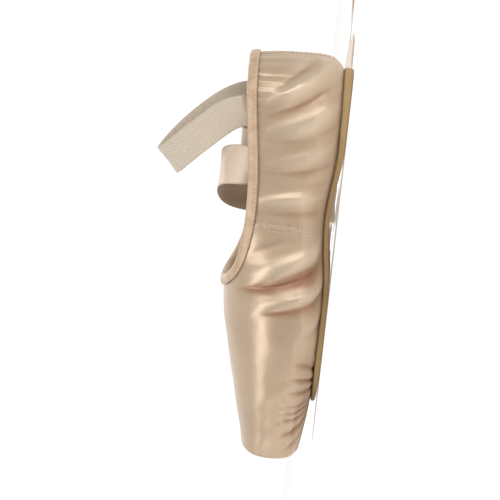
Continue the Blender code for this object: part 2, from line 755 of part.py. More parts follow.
def ribbon(name, side, drape, floor, material):
    """One ribbon from its seat inside a quarter, over the right side of the collar and along the floor.

    It lies level across its width, so its width follows the floor plan of its path.
    """
    path = ribbon_path(side, drape, floor)
    heading = np.gradient(path, axis=0)
    heading /= np.linalg.norm(heading, axis=1, keepdims=True)
    plan = heading[:, :2].copy()
    plan[:, 1] = -np.abs(plan[:, 1]) - 0.15
    across = np.stack([-plan[:, 1], plan[:, 0], 0 * plan[:, 0]], axis=1)
    size = (RIBBON_WIDTH, RIBBON_THICKNESS)
    return strip_solid(name, path, across, size, material, RIBBON_INSIDE, RIBBON_SEATED)


def finish(name, colour, roughness, sheen=0.0):
    """A cloth or leather material. The colour is linear."""
    material = bpy.data.materials.new(name)
    material.use_nodes = True
    shader = material.node_tree.nodes["Principled BSDF"]
    shader.inputs["Base Color"].default_value = (*colour, 1)
    shader.inputs["Roughness"].default_value = roughness
    shader.inputs["Metallic"].default_value = 0.0
    shader.inputs["Sheen Weight"].default_value = sheen
    return material


def main():
    for old in list(bpy.data.objects):
        bpy.data.objects.remove(old, do_unlink=True)
    upper(finish("satin", (0.62, 0.43, 0.29), 0.35, 0.3))
    outsole(finish("sole_leather", (0.33, 0.25, 0.16), 0.65))
    insole(finish("insole_cloth", (0.66, 0.56, 0.44), 0.85))
    binding(finish("binding_satin", (0.58, 0.40, 0.27), 0.45, 0.2))
    elastic(finish("elastic_webbing", (0.60, 0.50, 0.38), 0.8, 0.2))
    left_satin = finish("ribbon_left_satin", (0.75, 0.57, 0.43), 0.4)
    ribbon("ribbon_left", 1, LEFT_RIBBON_DRAPE, LEFT_RIBBON_FLOOR, left_satin)
    right_satin = finish("ribbon_right_satin", (0.75, 0.57, 0.43), 0.4)
    ribbon("ribbon_right", -1, RIGHT_RIBBON_DRAPE, RIGHT_RIBBON_FLOOR, right_satin)


main()
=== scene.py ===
"""The looks of a pointe shoe, in satin, cotton, leather and elastic, all worked out from one last."""

from collections import namedtuple
import math

import bmesh
import bpy
from mathutils import Matrix, Vector
import numpy as np


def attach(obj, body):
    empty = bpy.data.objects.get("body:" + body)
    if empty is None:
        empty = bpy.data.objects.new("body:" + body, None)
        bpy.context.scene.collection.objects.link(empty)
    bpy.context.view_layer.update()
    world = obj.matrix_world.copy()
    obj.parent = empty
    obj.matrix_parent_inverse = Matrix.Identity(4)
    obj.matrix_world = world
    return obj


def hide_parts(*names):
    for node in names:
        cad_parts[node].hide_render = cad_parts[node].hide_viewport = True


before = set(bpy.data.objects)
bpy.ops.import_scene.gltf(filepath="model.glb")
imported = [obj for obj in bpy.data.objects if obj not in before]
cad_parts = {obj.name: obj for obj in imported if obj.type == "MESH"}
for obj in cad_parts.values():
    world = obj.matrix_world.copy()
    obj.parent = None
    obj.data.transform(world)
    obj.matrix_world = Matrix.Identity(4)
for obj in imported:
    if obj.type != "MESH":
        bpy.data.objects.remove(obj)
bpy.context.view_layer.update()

MM = 0.001
LEFT, RIGHT = 1, -1

# The last's sizes in metres, and its stations as shares of its length
LENGTH = 0.230
BALL_WIDTH = 0.085
INSTEP_HEIGHT = 0.060
HEEL_CENTRE = 0.0288
TOE_SPRING = 0.0045
ARCH_RISE = 0.0040
SOLE_THICKNESS = 0.0024
SEAM_STEP = 0.0004
GAP = 0.0003
MIDDLE = (LENGTH - SEAM_STEP) / 2
HEEL_SQUARE = 2.2
FAN_LENGTH = HEEL_CENTRE * math.pi / 2
HEEL_FLAT_END = 0.20
BALL_FLAT_START = 0.59
BALL_FLAT_END = 0.745
THROAT = 0.570
SIDE_SEAM = 0.400

# Sections of the last, their widths as shares of the ball width and their heights of the instep height
Section = namedtuple("Section", "station width crown widest square_top square_base")
SECTIONS = (
    Section(0.125, 0.660, 1.38, 0.37, 2.3, 3.4),
    Section(0.250, 0.690, 1.34, 0.36, 2.3, 3.0),
    Section(0.400, 0.765, 1.20, 0.35, 2.2, 2.8),
    Section(0.530, 0.925, 1.03, 0.32, 2.1, 3.6),
    Section(0.650, 1.000, 0.968, 0.30, 2.1, 4.4),
    Section(0.750, 0.950, 0.888, 0.31, 2.15, 4.2),
    Section(0.860, 0.815, 0.785, 0.35, 2.25, 3.4),
    Section(0.985, 0.640, 0.672, 0.39, 2.4, 2.7),
)
# Stations of the collar line up to the throat, and its heights as shares of the instep height
COLLAR = ((0.000, 0.955), (0.125, 0.920), (0.250, 0.860), (0.380, 0.830), (0.470, 0.855), (0.530, 0.915))

# Upper
QUARTER_WALL = 0.0014
BOX_WALL = 0.0030
WALL_GROWS = (0.48, 0.75)
TOE_EDGE_RADIUS = 0.0035
TOE_EDGE_STEPS = 6
MARGIN = 0.008
OPENING_FRONT = 0.84
OPENING_BACK = 0.060
OPENING_ROUND = 0.12
FEATHER_ANGLE = -42.0
LINING_THICKNESS = 0.0005

# Outsole and insole. The plan's half widths are shares of the ball width at stations; starts, ends and
# rounded ends are stations too, the reach is a share and the rest is metres
OUTSOLE_PLAN = (
    (0.00, 0.232), (0.12, 0.238), (0.26, 0.205), (0.40, 0.188), (0.52, 0.270), (0.64, 0.368), (0.74, 0.362),
    (0.88, 0.260),
)
OUTSOLE_START = 0.026
OUTSOLE_END = 0.870
OUTSOLE_ROUND_HEEL = 0.085
OUTSOLE_ROUND_TOE = 0.140
END_SQUARE = 2.1
SOLE_STEP = 0.0007
SOLE_CHAMFER = 0.0008
CHANNEL_INSET = 0.0030
CHANNEL_HALF_WIDTH = 0.0004
CHANNEL_DEPTH = 0.0004
INSOLE_THICKNESS = 0.0016
INSOLE_REACH = 0.84
INSOLE_END = 0.945
INSOLE_ROUND_TOE = 0.060

# Collar binding
BINDING_WIDTH = 0.0048
BINDING_THICKNESS = 0.0008
BINDING_GAP = 0.00045
BINDING_REACH = 0.0070

# Elastic: its route goes from its seat inside the left quarter to the middle of its hoop
ELASTIC_WIDTH = 0.018
ELASTIC_THICKNESS = 0.0010
ELASTIC_STATION = 0.135
ELASTIC_SEAT_HEIGHTS = (0.038, 0.046, 0.054)
ELASTIC_INSIDE = 0.0021
ELASTIC_LEAN = 47.0
ELASTIC_CUP = 0.0004
ELASTIC_ROUTE = (
    (-0.0805, 0.0192, 0.064), (-0.0715, 0.0204, 0.0755), (-0.06, 0.018, 0.087),
    (-0.05, 0.0104, 0.0955), (-0.0462, 0.0, 0.0985),
)

# Ribbons: each route goes from its seat inside the quarter over the collar, and on the floor to its cut end
RIBBON_WIDTH = 0.022
RIBBON_THICKNESS = 0.0005
RIBBON_STATION = 0.270
RIBBON_SEAT_HEIGHTS = (0.03, 0.038, 0.046)
RIBBON_INSIDE = 0.0020
RIBBON_ON_FLOOR = 0.0006
RIBBON_TILT = 7.0
# Millimetres along a ribbon: where its seat ends, and where it comes to lie down
RIBBON_SEAT_END = 34
RIBBON_LIES = (120, 170)
LEFT_RIBBON_DRAPE = (
    (-0.053, 0.0222, 0.056), (-0.051, 0.0165, 0.064), (-0.045, 0.004, 0.0685),
    (-0.037, -0.01, 0.068), (-0.0295, -0.0235, 0.0635), (-0.025, -0.0335, 0.0545),
    (-0.0225, -0.0385, 0.04), (-0.0205, -0.042, 0.023), (-0.019, -0.048, 0.009),
    (-0.0165, -0.06, 0.0015),
)
LEFT_RIBBON_FLOOR = (
    (-0.0125, -0.077), (-0.003, -0.105), (0.018, -0.134), (0.05, -0.156), (0.082, -0.178),
    (0.1, -0.212), (0.094, -0.25), (0.07, -0.282), (0.042, -0.31), (0.026, -0.344),
)
RIGHT_RIBBON_DRAPE = (
    (-0.053, -0.0221, 0.0548), (-0.0532, -0.0262, 0.0595), (-0.0537, -0.0322, 0.058),
    (-0.0545, -0.035, 0.048), (-0.056, -0.0375, 0.034), (-0.058, -0.0405, 0.02),
    (-0.0605, -0.047, 0.008), (-0.0635, -0.059, 0.0015),
)
RIGHT_RIBBON_FLOOR = (
    (-0.068, -0.076), (-0.081, -0.106), (-0.092, -0.14), (-0.088, -0.176), (-0.066, -0.206),
    (-0.036, -0.23), (-0.014, -0.26), (-0.016, -0.296), (-0.042, -0.322), (-0.074, -0.34),
    (-0.103, -0.35),
)

# Creases of the satin, listed one by one: where each starts and ends, its rise, its reach and its bow.
# Both ends are millimetres along from the heel, below zero where the satin turns round it, and degrees from
# the middle of the top, 90 at the widest line. The rest is millimetres: a trough rises below zero, reach is
# half the width and bow is how far the line bends aside.
LEFT_CREASES = (
    (132, 24, 101, 156, -2.6, 3.4, 3.5),
    (122, 34, 92, 146, 1.5, 5.2, 3.0),
    (121, 70, 104, 128, -1.1, 2.2, 1.5),
    (137, 52, 111, 160, 1.3, 3.6, 3.0),
    (144, 46, 117, 158, -1.6, 2.8, 3.0),
    (152, 96, 134, 160, -0.8, 2.6, 1.5),
    (150, 86, 126, 160, 0.6, 3.2, 2.0),
    (112, 40, 98, 88, -0.7, 2.8, -1.5),
    (81, 44, 74, 120, 1.5, 3.2, -1.5),
    (87, 50, 83, 132, -0.7, 2.4, -1.0),
    (72, 60, 66, 134, -0.5, 2.6, -1.0),
    (64, 52, 52, 136, -0.9, 2.6, 2.0),
    (58, 54, 42, 130, 1.1, 4.2, 2.5),
    (47, 50, 30, 134, -0.8, 3.0, 3.0),
    (40, 50, 18, 126, 1.9, 5.2, 3.5),
    (33, 48, 6, 120, -1.2, 3.0, 3.0),
    (25, 48, -5, 110, 1.5, 4.2, 2.5),
    (17, 54, -8, 96, -0.6, 2.2, 1.5),
    (8, 56, -9, 86, 0.5, 2.2, 1.0),
)
RIGHT_CREASES = (
    (131, 30, 104, 154, -1.8, 3.4, 2.5),
    (121, 40, 94, 144, 1.3, 4.8, 3.0),
    (139, 64, 118, 160, 0.9, 3.2, 2.0),
    (147, 70, 124, 160, -0.9, 2.8, 2.0),
    (113, 50, 100, 112, -0.8, 2.6, -1.0),
    (82, 50, 72, 130, 1.0, 3.8, 1.5),
    (88, 56, 82, 134, -0.6, 2.4, 1.0),
    (63, 50, 55, 134, -0.8, 2.8, -2.0),
    (52, 54, 40, 128, 0.7, 4.0, -2.0),
    (38, 50, 20, 126, 1.0, 4.6, -2.0),
    (30, 50, 8, 116, -0.7, 3.0, 2.0),
    (18, 52, -6, 98, 0.7, 3.2, 2.0),
)
BOX_CREASES = (
    (186, 96, 222, 98, 0.35, 1.6, 1.0),
    (192, 104, 225, 107, 0.45, 1.4, -1.0),
    (190, 112, 224, 114, -0.45, 1.2, 0.5),
    (176, 116, 206, 122, -0.50, 1.8, 1.0),
    (166, 122, 192, 132, 0.45, 2.2, 1.0),
)
TURN_TO_MM = 0.58
FOLDS_FADE = (0.950, 0.982)

# The satin's tension rounds the last's widest line over SOFTEN degrees, less and less over SOFTEN_FADE
SOFTEN = 9.0
SOFTEN_FADE = 24.0

# Pleats gathered under the toe: their centre is a station, and they grow and fade by millimetres from it
PLEAT_CENTRE = 0.800
PLEAT_ANGLE = 11.0
PLEAT_DEPTH = 1.9
PLEAT_GROWS = (15.0, 20.0)
PLEAT_FADES = (38.0, 52.0)

# Seams of the satin: groove and pucker depths in metres, widths in millimetres, the back seam's in degrees
SIDE_GROOVE_DEPTH = 0.00028
SIDE_GROOVE_WIDTH = 0.55
SIDE_GROOVE_BEHIND = 0.5
PUCKER_DEPTH = 0.00012
PUCKER_WIDTH = 2.2
BACK_GROOVE_DEPTH = 0.00055
BACK_GROOVE_WIDTH = 1.3

# Stitches, how far inside a seat's edge its square runs, and how far beside the seams their lines do
STITCH_LENGTH = 0.0017
STITCH_RADIUS = 0.00022
STITCH_PITCH = 0.0026
SEAT_EDGE = 0.002
STITCH_PROUD = 0.00005
SIDE_STITCH_PROUD = 0.0001
BACK_STITCHES = 0.0021
SIDE_STITCHES = (0.0014, 0.0032)


def spline(knots, values, at, level_start=False):
    """Cubic spline through knots: between two, a line plus a cube bend, smooth in slope and curvature."""
    knots = np.asarray(knots, float)
    values = np.asarray(values, float)
    step = np.diff(knots)
    slope = np.diff(values) / step
    size = len(knots)
    system = np.eye(size)
    right = np.zeros(size)
    for row in range(1, size - 1):
        system[row, row - 1 : row + 2] = step[row - 1], 2 * (step[row - 1] + step[row]), step[row]
        right[row] = 6 * (slope[row] - slope[row - 1])
    if level_start:
        system[0, :2] = 2 * step[0], step[0]
        right[0] = 6 * slope[0]
    bend = np.linalg.solve(system, right)
    at = np.clip(at, knots[0], knots[-1])
    left = np.clip(np.searchsorted(knots, at) - 1, 0, size - 2)
    width = step[left]
    back = (knots[left + 1] - at) / width
    front = (at - knots[left]) / width
    line = back * values[left] + front * values[left + 1]
    curve = (back**3 - back) * bend[left] + (front**3 - front) * bend[left + 1]
    return line + curve * width**2 / 6


def arc_length(path):
    """Length along a path up to each of its points."""
    return np.concatenate([[0.0], np.cumsum(np.linalg.norm(np.diff(path, axis=0), axis=1))])


def along_curve(points, count):
    """Evenly chorded points on the spline through the given points."""
    points = np.asarray(points, float)
    knots = arc_length(points)
    at = np.linspace(0, knots[-1], count)
    return np.stack([spline(knots, points[:, axis], at) for axis in range(3)], axis=1)


def ramp(value, start, end):
    """0 before start, 1 after end, and 3t squared minus 2t cubed between."""
    share = np.clip((value - start) / (end - start), 0, 1)
    return share * share * (3 - 2 * share)


def unit(vectors):
    """Each vector over its own length."""
    return vectors / np.linalg.norm(vectors, axis=-1, keepdims=True)


def superellipse(share, square):
    """Height of a superellipse of size 1 at a share of its width."""
    return (1 - np.clip(np.abs(share), 0, 1) ** square) ** (1 / square)


def rounded_end(inward, reach, square=END_SQUARE):
    """Share of its width that a plan keeps this far inward from its end: a superellipse over the reach."""
    return superellipse(np.clip((reach - inward) / reach, 0, 1), square)


def section_value(station, column):
    """One column of the section table at a station, level through the heel."""
    knots = [row.station for row in SECTIONS]
    return spline(knots, [getattr(row, column) for row in SECTIONS], station, level_start=True)


def half_width(station):
    """Half the last's width."""
    return section_value(station, "width") * BALL_WIDTH / 2


def widest_and_crown(station):
    """Heights of the last's widest line and of its crown."""
    return section_value(station, "widest") * INSTEP_HEIGHT, section_value(station, "crown") * INSTEP_HEIGHT


def floor_gap(station):
    """Height under the outsole: a squared sine at the waist and a square rise towards the toe."""
    waist = np.clip((station - HEEL_FLAT_END) / (BALL_FLAT_START - HEEL_FLAT_END), 0, 1)
    toe = np.clip((station - BALL_FLAT_END) / (1 - BALL_FLAT_END), 0, 1)
    return ARCH_RISE * np.sin(np.pi * waist) ** 2 + TOE_SPRING * toe**2


def base_height(station):
    """Height of the upper's underside on the middle line."""
    return floor_gap(station) + SOLE_THICKNESS + GAP


def wall(station):
    """Wall thickness of the upper."""
    return QUARTER_WALL + (BOX_WALL - QUARTER_WALL) * ramp(station, *WALL_GROWS)


def column_at(station):
    """A station's column: its distance in front of the heel centre."""
    return station * LENGTH - HEEL_CENTRE


def row_at(columns, station):
    """Which of the columns is nearest to a station."""
    return int(np.argmin(np.abs(columns - column_at(station))))


def section_of(column):
    """Station of the section that a column is cut from."""
    return (HEEL_CENTRE + np.maximum(column, 0)) / LENGTH


def fan_turn(column):
    """Angle of a column from straight back: even round the heel, and a quarter turn from column 0 on."""
    return np.pi / 2 * (1 + np.minimum(column, 0) / FAN_LENGTH)


def heel_reach(angle):
    """Distance from the heel centre to the widest line: a superellipse in polar form."""
    back_part = (np.cos(angle) / HEEL_CENTRE) ** HEEL_SQUARE
    side_part = (np.sin(angle) / half_width(SECTIONS[0].station)) ** HEEL_SQUARE
    return (back_part + side_part) ** (-1 / HEEL_SQUARE)


def last_point(column, angle):
    """Point of the smooth last: a superellipse in polar form stood on each column.

    Columns below 0 turn round the heel centre, and from 0 on stand across the shoe that far in front of it.
    """
    column, angle = np.broadcast_arrays(np.asarray(column, float), np.asarray(angle, float))
    station = section_of(column)
    turn = fan_turn(column)
    reach = np.where(column < 0, heel_reach(np.clip(turn, 1e-9, np.pi / 2)), half_width(station))
    radians = np.radians(angle)
    square_top, square_base = section_value(station, "square_top"), section_value(station, "square_base")
    square = np.where(radians > 0, square_top, square_base)
    widest, crown = widest_and_crown(station)
    rise = np.where(radians > 0, crown - widest, widest - base_height(station))
    cosine, sine = np.cos(radians), np.sin(radians)
    size = (np.abs(cosine) ** square + np.abs(sine) ** square) ** (-1 / square)
    outward = reach * size * cosine
    x = HEEL_CENTRE + np.maximum(column, 0) - outward * np.cos(turn) - MIDDLE
    return np.stack([x, outward * np.sin(turn), widest + rise * size * sine], axis=-1)


def last_slopes(column, angle):
    """How the last's point moves per metre of column and per degree of angle, by small differences."""
    small, turn = 1e-5, 1e-2
    along = (last_point(column + small, angle) - last_point(column - small, angle)) / (2 * small)
    up = (last_point(column, angle + turn) - last_point(column, angle - turn)) / (2 * turn)
    return along, up


def last_normal(column, angle):
    """Unit normal of the last, pointing out."""
    along, up = last_slopes(column, angle)
    return unit(np.cross(up, along))


def on_last(columns, angles):
    """The columns repeated under their angles, and the last's points and normals there."""
    grid = np.repeat(columns[:, None], angles.shape[1], axis=1)
    return grid, last_point(grid, angles), last_normal(grid, angles)


def angle_at_height(station, height):
    """Angle above the widest line at which the section reaches a height."""
    widest, crown = widest_and_crown(station)
    share = np.clip((height - widest) / (crown - widest), 0, 1)
    return np.degrees(np.arctan2(share, superellipse(share, section_value(station, "square_top"))))


def collar_height(station):
    """Height of the collar line, which meets the last's crown at the throat."""
    knots, heights = zip(*COLLAR, (THROAT, float(section_value(THROAT, "crown"))))
    return spline(knots, heights, station) * INSTEP_HEIGHT


def collar_angle(column):
    """Angle of a column's top end: the collar line, and the middle of the vamp in front of the throat."""
    section = section_of(column)
    fanned = (HEEL_CENTRE - HEEL_CENTRE * np.cos(fan_turn(column))) / LENGTH
    height = collar_height(np.where(column < 0, fanned, section))
    return np.where(section >= THROAT - 1e-9, 90.0, angle_at_height(section, height))


def outsole_half_width(station):
    """Half width of the outsole before its ends are rounded."""
    return spline(*zip(*OUTSOLE_PLAN), station) * BALL_WIDTH


def opening_angle(column):
    """Angle of a column's bottom end: the edge turned in under the foot, closed under the toe."""
    section = section_of(column)
    turn = fan_turn(column)
    reach = np.where(column < 0, heel_reach(turn), half_width(section))
    side = (outsole_half_width(section) - MARGIN) * rounded_end(OPENING_FRONT - section, OPENING_ROUND, 2)
    back = HEEL_CENTRE - OPENING_BACK * LENGTH
    fanned = ((np.cos(turn) / back) ** 2 + (np.sin(turn) / side.clip(1e-6)) ** 2) ** -0.5
    share = np.where(column < 0, fanned, side) / reach
    down = superellipse(share, section_value(section, "square_base"))
    return np.where(section >= OPENING_FRONT - 1e-9, -90.0, -np.degrees(np.arctan2(down, share)))


def columns_of_upper(fine):
    """Columns from the back of the heel to the toe's rounded edge, crowded as squares behind the throat.

    They also stand closer over the first 4 mm from the back seam and round the side seam.
    """
    throat, closed, seam = column_at(THROAT), column_at(OPENING_FRONT), column_at(SIDE_SEAM)
    crowd = 0.012
    marks = (-FAN_LENGTH, -FAN_LENGTH + 0.004, 0, seam - 0.003, seam + 0.005, throat - crowd)
    parts = [
        np.linspace(start, end, int(count * fine), endpoint=False)
        for start, end, count in zip(marks, marks[1:], (20, 52, 64, 24, 18))
    ]
    parts.append(throat - crowd * np.linspace(1, 0, int(24 * fine), endpoint=False) ** 2)
    parts.append(np.linspace(throat, closed, int(64 * fine), endpoint=False))
    parts.append(np.linspace(closed, LENGTH - TOE_EDGE_RADIUS - HEEL_CENTRE, int(44 * fine)))
    return np.concatenate(parts)


def angles_of_upper(columns, under, side):
    """Each column's angles, even from the opening to the feather line and even from there to the collar."""
    low = opening_angle(columns)[:, None]
    high = collar_angle(columns)[:, None]
    below = low + (FEATHER_ANGLE - low) * np.linspace(0, 1, under + 1)[None, :-1]
    above = FEATHER_ANGLE + (high - FEATHER_ANGLE) * np.linspace(0, 1, side + 1)[None, :]
    return np.concatenate([below, above], axis=1)


def arc_down(points, angles):
    """Distance in millimetres down each column from its widest line, below zero above that line."""
    steps = np.linalg.norm(np.diff(points, axis=1), axis=2) / MM
    arc = np.concatenate([np.zeros((len(points), 1)), np.cumsum(steps, axis=1)], axis=1)
    near = np.clip(np.argmin(np.abs(angles), axis=1), 1, angles.shape[1] - 2)
    row = np.arange(len(points))
    slope = (arc[row, near + 1] - arc[row, near - 1]) / (angles[row, near + 1] - angles[row, near - 1])
    return (arc[row, near] - angles[row, near] * slope)[:, None] - arc


def crease_rise(along, down, side):
    """Sum of the listed creases in millimetres.

    Across its bowed line a trough is a sharp bell, exp of minus distance to the power 1.4, and a ridge a
    round one. Both are steeper on one flank, and grow and narrow as half a sine wave from end to end.
    """
    total = np.zeros_like(along)
    creases = (LEFT_CREASES if side == LEFT else RIGHT_CREASES) + BOX_CREASES
    for from_along, from_turn, to_along, to_turn, rise, reach, bow in creases:
        line = np.array([to_along - from_along, (to_turn - from_turn) * TURN_TO_MM])
        size = np.hypot(*line)
        way = line / size
        ahead, beside = along - from_along, down - (from_turn - 90) * TURN_TO_MM
        swell = np.sin(np.pi * np.clip((ahead * way[0] + beside * way[1]) / size, 0, 1))
        off = ahead * way[1] - beside * way[0] - bow * swell
        flank = reach * np.where(off > 0, 1.3, 0.8) * (0.40 + 0.60 * swell**0.7)
        total += rise * swell**0.9 * np.exp(-np.abs(off / flank) ** (1.4 if rise < 0 else 2.0))
    return total


def pleat_rise(points, angle):
    """Depth in millimetres of the pleats: rounded lobes with sharp valleys at even angles round a centre."""
    x = (points[..., 0] + MIDDLE - PLEAT_CENTRE * LENGTH) / MM
    y = points[..., 1] / MM
    radius = np.hypot(x, y)
    bearing = np.degrees(np.arctan2(y, x))
    uneven = 3.0 * np.sin(np.radians(bearing * 5.3 + 20)) + 2.0 * np.sin(np.radians(bearing * 11.0))
    phase = (bearing + uneven) / PLEAT_ANGLE * np.pi
    lobes = np.abs(np.sin(phase)) ** 0.7 - 1
    small = 0.18 * (np.abs(np.sin(phase * 2.5 + 0.6)) - 1)
    depth = 0.75 + 0.25 * np.sin(np.radians(bearing * 7.7 + 50))
    reach = ramp(radius, *PLEAT_GROWS) * (1 - 0.55 * ramp(radius, *PLEAT_FADES))
    below = 1 - ramp(angle, -38, 6)
    sector = 1 - ramp(np.abs(bearing), 100, 135)
    return PLEAT_DEPTH * (lobes * depth + small) * reach * below * sector


def ripple(along, across):
    """Cloth that never lies quite flat: a few long sine waves at slants, in millimetres."""
    waves = (
        (0.055, 0.021, 0.4, 0.10), (-0.034, 0.048, 1.7, 0.08), (0.110, 0.062, 2.9, 0.045),
        (0.047, -0.130, 0.9, 0.035),
    )
    return sum(
        size * np.sin(2 * np.pi * (a * along + b * across) / 1.6 + shift) for a, b, shift, size in waves
    )


def gathers(columns, angle, high):
    """Small gathers that the drawn collar pulls into the satin, fading within a few millimetres."""
    below = (high - angle) * TURN_TO_MM
    along = columns / MM
    wave = np.sin(along * 1.05 + 0.8 * np.sin(along * 0.31)) + 0.5 * np.sin(along * 2.3 + 1.0)
    heel = 1 - ramp(along, -30, 12)
    size = 0.20 + 0.22 * heel
    reach = 4.5 + 4.0 * heel
    return size * wave * np.exp(-below / reach) * (section_of(columns) < THROAT + 0.02)


def satin_lift(columns, angles, side):
    """How far the satin stands off the last in metres, and how far its folds do in millimetres."""
    grid, smooth, normals = on_last(columns, angles)
    along = (HEEL_CENTRE + grid) / MM
    turn = 90 - angles
    station = section_of(grid)
    back = np.degrees(fan_turn(grid))
    waves = ripple(along, side * turn * TURN_TO_MM * ramp(turn, 0, 16))
    folds = (crease_rise(along, arc_down(smooth, angles), side) + waves) * ramp(back, 2, 12)
    folds = folds * ramp(angles, FEATHER_ANGLE - 22, FEATHER_ANGLE + 4)
    folds = folds + gathers(grid, angles, collar_angle(columns)[:, None])
    folds = folds * (1 - ramp(station, *FOLDS_FADE))
    folds = folds + pleat_rise(smooth * [1, side, 1], angles)
    past_seam = along - SIDE_SEAM * LENGTH / MM
    seam = SEAM_STEP * ramp(station, SIDE_SEAM - 0.0012, SIDE_SEAM + 0.0012)
    seam = seam - SIDE_GROOVE_DEPTH * np.exp(-(((past_seam + SIDE_GROOVE_BEHIND) / SIDE_GROOVE_WIDTH) ** 2))
    pucker = PUCKER_DEPTH * np.sin(turn * 0.9) * np.exp(-((past_seam / PUCKER_WIDTH) ** 2))
    groove = BACK_GROOVE_DEPTH * np.exp(-((back / BACK_GROOVE_WIDTH) ** 2))
    back_seam = SEAM_STEP * (1 - ramp(back, 3, 8)) - groove
    outside = ramp(angles, FEATHER_ANGLE, FEATHER_ANGLE / 3)
    drawn = last_point(grid, angles - SOFTEN) + last_point(grid, angles + SOFTEN) - 2 * smooth
    relaxed = np.sum(drawn * normals, axis=2) / 3 * np.exp(-((angles / SOFTEN_FADE) ** 2))
    return folds * MM + relaxed + (seam + back_seam + pucker) * outside, folds


def toe_edge(last_outer, normals, radius, lift, steps):
    """The rounded edge of the platform: a quarter circle swept round the last section, as more columns."""
    flat = unit(normals * [0, 1, 1])
    rows = []
    for turn in np.linspace(0, np.pi / 2, steps + 1)[1:]:
        edge = last_outer - flat * radius * (1 - math.cos(turn)) + np.array([radius * math.sin(turn), 0, 0])
        out = flat * math.cos(turn) + np.array([math.sin(turn), 0, 0])
        rows.append(edge + out * lift[:, None] * math.cos(turn) ** 0.5)
    return np.array(rows)


def platform(edge, plain, strips):
    """The toe's flat end: straight lines from the edge's points to the plain edge's places on the middle."""
    shares = np.linspace(0, 1, strips + 1)
    return np.array([edge * (1 - share) + plain * [1, 0, 1] * share for share in shares])


def shell(columns, faces, plain_ends, strips):
    """Half a wall: both faces brought to the middle, their flat toe ends, the collar and turned-in edges."""
    throat, closed = row_at(columns, THROAT), row_at(columns, OPENING_FRONT)
    for face in faces:
        face[throat:, -1, 1] = 0
        face[closed:, 0, 1] = 0
        face[0, :, 1] = 0
    collar = np.stack([face[: throat + 1, -1] for face in faces], axis=1)
    turned_in = np.stack([face[: closed + 1, 0] for face in faces], axis=1)
    ends = [platform(face[-1], plain, count) for face, plain, count in zip(faces, plain_ends, strips)]
    return [*faces, *ends, collar, turned_in]


def solid(name, patches, values, material, merge=1e-6):
    """One mesh from grids of points, welded where they meet, with named numbers kept on its points.

    Each patch is a grid of points by row and column; values holds, for each name, one grid per patch.
    """
    points = np.concatenate([patch.reshape(-1, 3) for patch in patches])
    faces = []
    first = 0
    for patch in patches:
        rows, columns = patch.shape[:2]
        corner = first + np.arange((rows - 1) * columns).reshape(rows - 1, columns)[:, :-1].ravel()
        faces.append(np.stack([corner, corner + 1, corner + columns + 1, corner + columns], axis=1))
        first += rows * columns
    mesh = bpy.data.meshes.new(name)
    mesh.from_pydata(points, [], np.concatenate(faces).tolist())
    for key, grids in values.items():
        layer = mesh.attributes.new(key, "FLOAT", "POINT")
        layer.data.foreach_set("value", np.concatenate([grid.ravel() for grid in grids]).astype(np.float32))
    body = bmesh.new()
    body.from_mesh(mesh)
    bmesh.ops.remove_doubles(body, verts=body.verts, dist=merge)
    bmesh.ops.recalc_face_normals(body, faces=body.faces)
    body.to_mesh(mesh)
    body.free()
    mesh.shade_smooth()
    mesh.materials.append(material)
    piece = bpy.data.objects.new(name, mesh)
    bpy.context.collection.objects.link(piece)
    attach(piece, "root")
    return piece


def soften_edges(piece, width, degrees):
    """A bevel of two steps on every edge sharper than so many degrees."""
    bevel = piece.modifiers.new("soft edges", "BEVEL")
    bevel.width = width
    bevel.segments = 2
    bevel.limit_method = "ANGLE"
    bevel.angle_limit = math.radians(degrees)


def satin_upper(material):
    """The satin and its canvas: a lifted outer face, an inner face one wall in, toe ends and edges."""
    columns = columns_of_upper(1.0)
    angles, within = angles_of_upper(columns, 34, 76), angles_of_upper(columns, 9, 24)
    grid, smooth, normals = on_last(columns, angles)
    inner_grid, inner_smooth, inner_normals = on_last(columns, within)
    thickness = (wall(section_of(inner_grid)) - LINING_THICKNESS)[..., None]
    toe_wall = thickness[-1, 0, 0]
    inner_radius = TOE_EDGE_RADIUS - toe_wall
    inner_toe = inner_smooth[-1] - inner_normals[-1] * toe_wall
    level = np.zeros(len(inner_toe))
    plain_ends = (
        toe_edge(smooth[-1], normals[-1], TOE_EDGE_RADIUS, np.zeros(len(smooth[-1])), 1)[-1],
        toe_edge(inner_toe, inner_normals[-1], inner_radius, level, 1)[-1],
    )
    patches = []
    values = {"fold": [], "along": [], "across": []}
    for side in (LEFT, RIGHT):
        lift, folds = satin_lift(columns, angles, side)
        sunk, _ = satin_lift(columns, within, side)
        outer = smooth + normals * lift[..., None]
        inner = inner_smooth + inner_normals * (np.minimum(sunk, 0)[..., None] - thickness)
        edge_out = toe_edge(smooth[-1], normals[-1], TOE_EDGE_RADIUS, lift[-1], TOE_EDGE_STEPS)
        edge_in = toe_edge(inner[-1], inner_normals[-1], inner_radius, level, 2)
        outer, inner = np.concatenate([outer, edge_out]), np.concatenate([inner, edge_in])
        faces = shell(columns, (outer, inner), plain_ends, (14, 6))
        # The fold heights kept on the points as "fold" also paint shade into the satin's troughs and a
        # highlight onto its ridges
        marks = (folds, grid / MM, angles * TURN_TO_MM * side)
        marks = [np.concatenate([mark, np.repeat(mark[-1:], TOE_EDGE_STEPS, axis=0)]) for mark in marks]
        for index, face in enumerate(faces):
            patches.append(face * [1, side, 1])
            if index > 0:
                marks = (np.zeros(face.shape[:2]), face[..., 0] / MM, face[..., 1] / MM)
            for grids, mark in zip(values.values(), marks):
                grids.append(mark)
    piece = solid("satin_upper", patches, values, material)
    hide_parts("upper")


